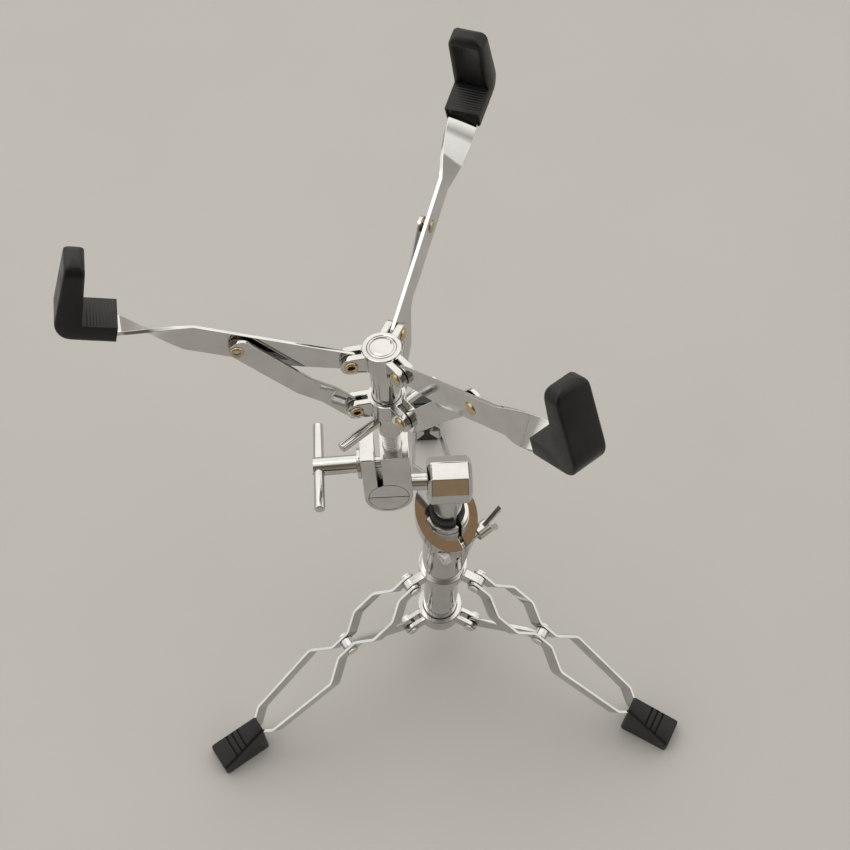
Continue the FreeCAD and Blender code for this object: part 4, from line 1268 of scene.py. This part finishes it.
@dataclass
class Studio:
    """Pale floor, soft light and the camera."""

    floor_size: float = 40.0
    floor_colour: Colour = (0.47, 0.462, 0.448)
    floor_roughness: float = 0.85
    mottle_scale: float = 4.0
    mottle_span: Point2 = (0.3, 0.7)
    mottle_shade: float = 0.97
    camera_place: Point3 = (-58.9, -445.1, 1337.9)
    yaw: float = -4.9
    pitch: float = 64.2
    roll: float = 1.8
    focal_pixels: float = 1560.3
    principal: Point2 = (421.6, 425.3)
    room: Colour = (0.17, 0.155, 0.14)
    glows: tuple[Glow, ...] = (
        Glow((-0.1, 0.72, 0.68), 0.36, 0.66, (1.55, 1.50, 1.40)),
        Glow((-0.92, -0.08, 0.38), 0.80, 0.92, (1.25, 1.225, 1.165)),
        Glow((0.91, -0.08, 0.40), 0.80, 0.92, (1.25, 1.225, 1.165)),
        Glow((0.78, -0.52, 0.34), 0.955, 0.985, (0.34, 0.215, 0.12)),
        Glow((0.0, -0.88, 0.48), 0.95, 0.985, (0.36, 0.25, 0.15)))
    lamp_place: Point3 = (-0.75, 0.7, 2.35)
    lamp_aim: Point3 = (0.0, 0.0, 0.3)
    lamp_side: float = 0.9
    lamp_power: float = 4.0
    lamp_tint: Colour = (1.0, 0.965, 0.89)

    def build_camera(self) -> None:
        """Sets the camera at the photograph's viewpoint."""
        pitch, roll = math.radians(self.pitch), math.radians(self.roll)
        yaw = turned(Axis.Z, self.yaw).to_3x3()
        ahead = yaw @ Vector((0, math.cos(pitch), -math.sin(pitch)))
        level = yaw @ Vector((1, 0, 0))
        upright = level.cross(ahead)
        right = math.cos(roll) * level + math.sin(roll) * upright
        top = -math.sin(roll) * level + math.cos(roll) * upright
        data = bpy.data.cameras.new("camera")
        data.sensor_width = SENSOR
        data.lens = SENSOR * self.focal_pixels / PHOTO_SIDE
        data.shift_x = (PHOTO_SIDE / 2 - self.principal[0]) / PHOTO_SIDE
        data.shift_y = (self.principal[1] - PHOTO_SIDE / 2) / PHOTO_SIDE
        camera = bpy.data.objects.new("camera", data)
        turn = Matrix((right, top, -ahead)).transposed().to_4x4()
        camera.matrix_world = Matrix.Translation(Vector(self.camera_place) * MM) @ turn
        bpy.context.scene.collection.objects.link(camera)
        bpy.context.scene.camera = camera

    def build_floor(self) -> None:
        """Lays a plain pale floor."""
        shape = bmesh.new()
        bmesh.ops.create_grid(shape, x_segments=1, y_segments=1, size=self.floor_size / 2)
        mesh = bpy.data.meshes.new("floor")
        shape.to_mesh(mesh)
        shape.free()
        material = bpy.data.materials.new("pale_floor")
        material.use_nodes = True
        nodes = Nodes(material.node_tree)
        shader = material.node_tree.nodes["Principled BSDF"]
        mottle = nodes.span(nodes.noise(nodes.place(), self.mottle_scale), *self.mottle_span, 0.0, 1.0)
        darker = tuple(self.mottle_shade * channel for channel in self.floor_colour)
        nodes.put(shader.inputs["Base Color"], nodes.blend(mottle, self.floor_colour, darker))
        shader.inputs["Roughness"].default_value = self.floor_roughness
        mesh.materials.append(material)
        floor = bpy.data.objects.new("floor", mesh)
        bpy.context.scene.collection.objects.link(floor)

    def build_sky(self) -> None:
        """Makes the soft room light: pale above, behind and beside, dim in front, two warm spots."""
        world = bpy.data.worlds.new("room")
        world.use_nodes = True
        bpy.context.scene.world = world
        nodes = Nodes(world.node_tree)
        way = nodes.add("ShaderNodeTexCoord").outputs["Generated"]
        sky = self.room
        for glow in self.glows:
            share = nodes.span(self.facing(nodes, way, glow.way), glow.start, glow.full, 0.0, 1.0)
            sky = nodes.blend(share, sky, glow.colour)
        nodes.put(world.node_tree.nodes["Background"].inputs["Color"], sky)

    @staticmethod
    def facing(nodes: Nodes, way: bpy.types.NodeSocket, aim: Point3) -> bpy.types.NodeSocket:
        """How far the directions of the sky agree with one of them.

        Args:
            nodes: the world's nodes.
            way: the socket that gives the direction.
            aim: the direction to compare it with.

        Returns:
            The socket of the cosine between the two.
        """
        dot = nodes.tree.nodes.new("ShaderNodeVectorMath")
        dot.operation = "DOT_PRODUCT"
        nodes.put(dot.inputs[0], way)
        nodes.put(dot.inputs[1], Vector(aim).normalized())
        return dot.outputs["Value"]

    def build_lamp(self) -> None:
        """Hangs one soft lamp over the stand, to its left and behind it."""
        data = bpy.data.lights.new("soft_lamp", "AREA")
        data.size = self.lamp_side
        data.energy = self.lamp_power
        data.color = self.lamp_tint
        lamp = bpy.data.objects.new("soft_lamp", data)
        aim = Vector(self.lamp_aim) - Vector(self.lamp_place)
        lamp.matrix_world = (Matrix.Translation(self.lamp_place)
                             @ aim.to_track_quat("-Z", "Y").to_matrix().to_4x4())
        bpy.context.scene.collection.objects.link(lamp)

    def build(self) -> None:
        """Builds the studio round the stand."""
        self.build_camera()
        self.build_floor()
        self.build_sky()
        self.build_lamp()
        bpy.context.scene.view_settings.view_transform = "Standard"


def main() -> None:
    """Builds the stand's sub-assemblies and the studio in order."""
    logging.basicConfig(level=logging.INFO, format="%(name)s: %(message)s")
    Studio().build()
    for assembly in (Legs(), Column(), Tilter(), Post(), Basket()):
        assembly.build()
        log.info("%s done", type(assembly).__name__)


if __name__ == "__main__":
    main()
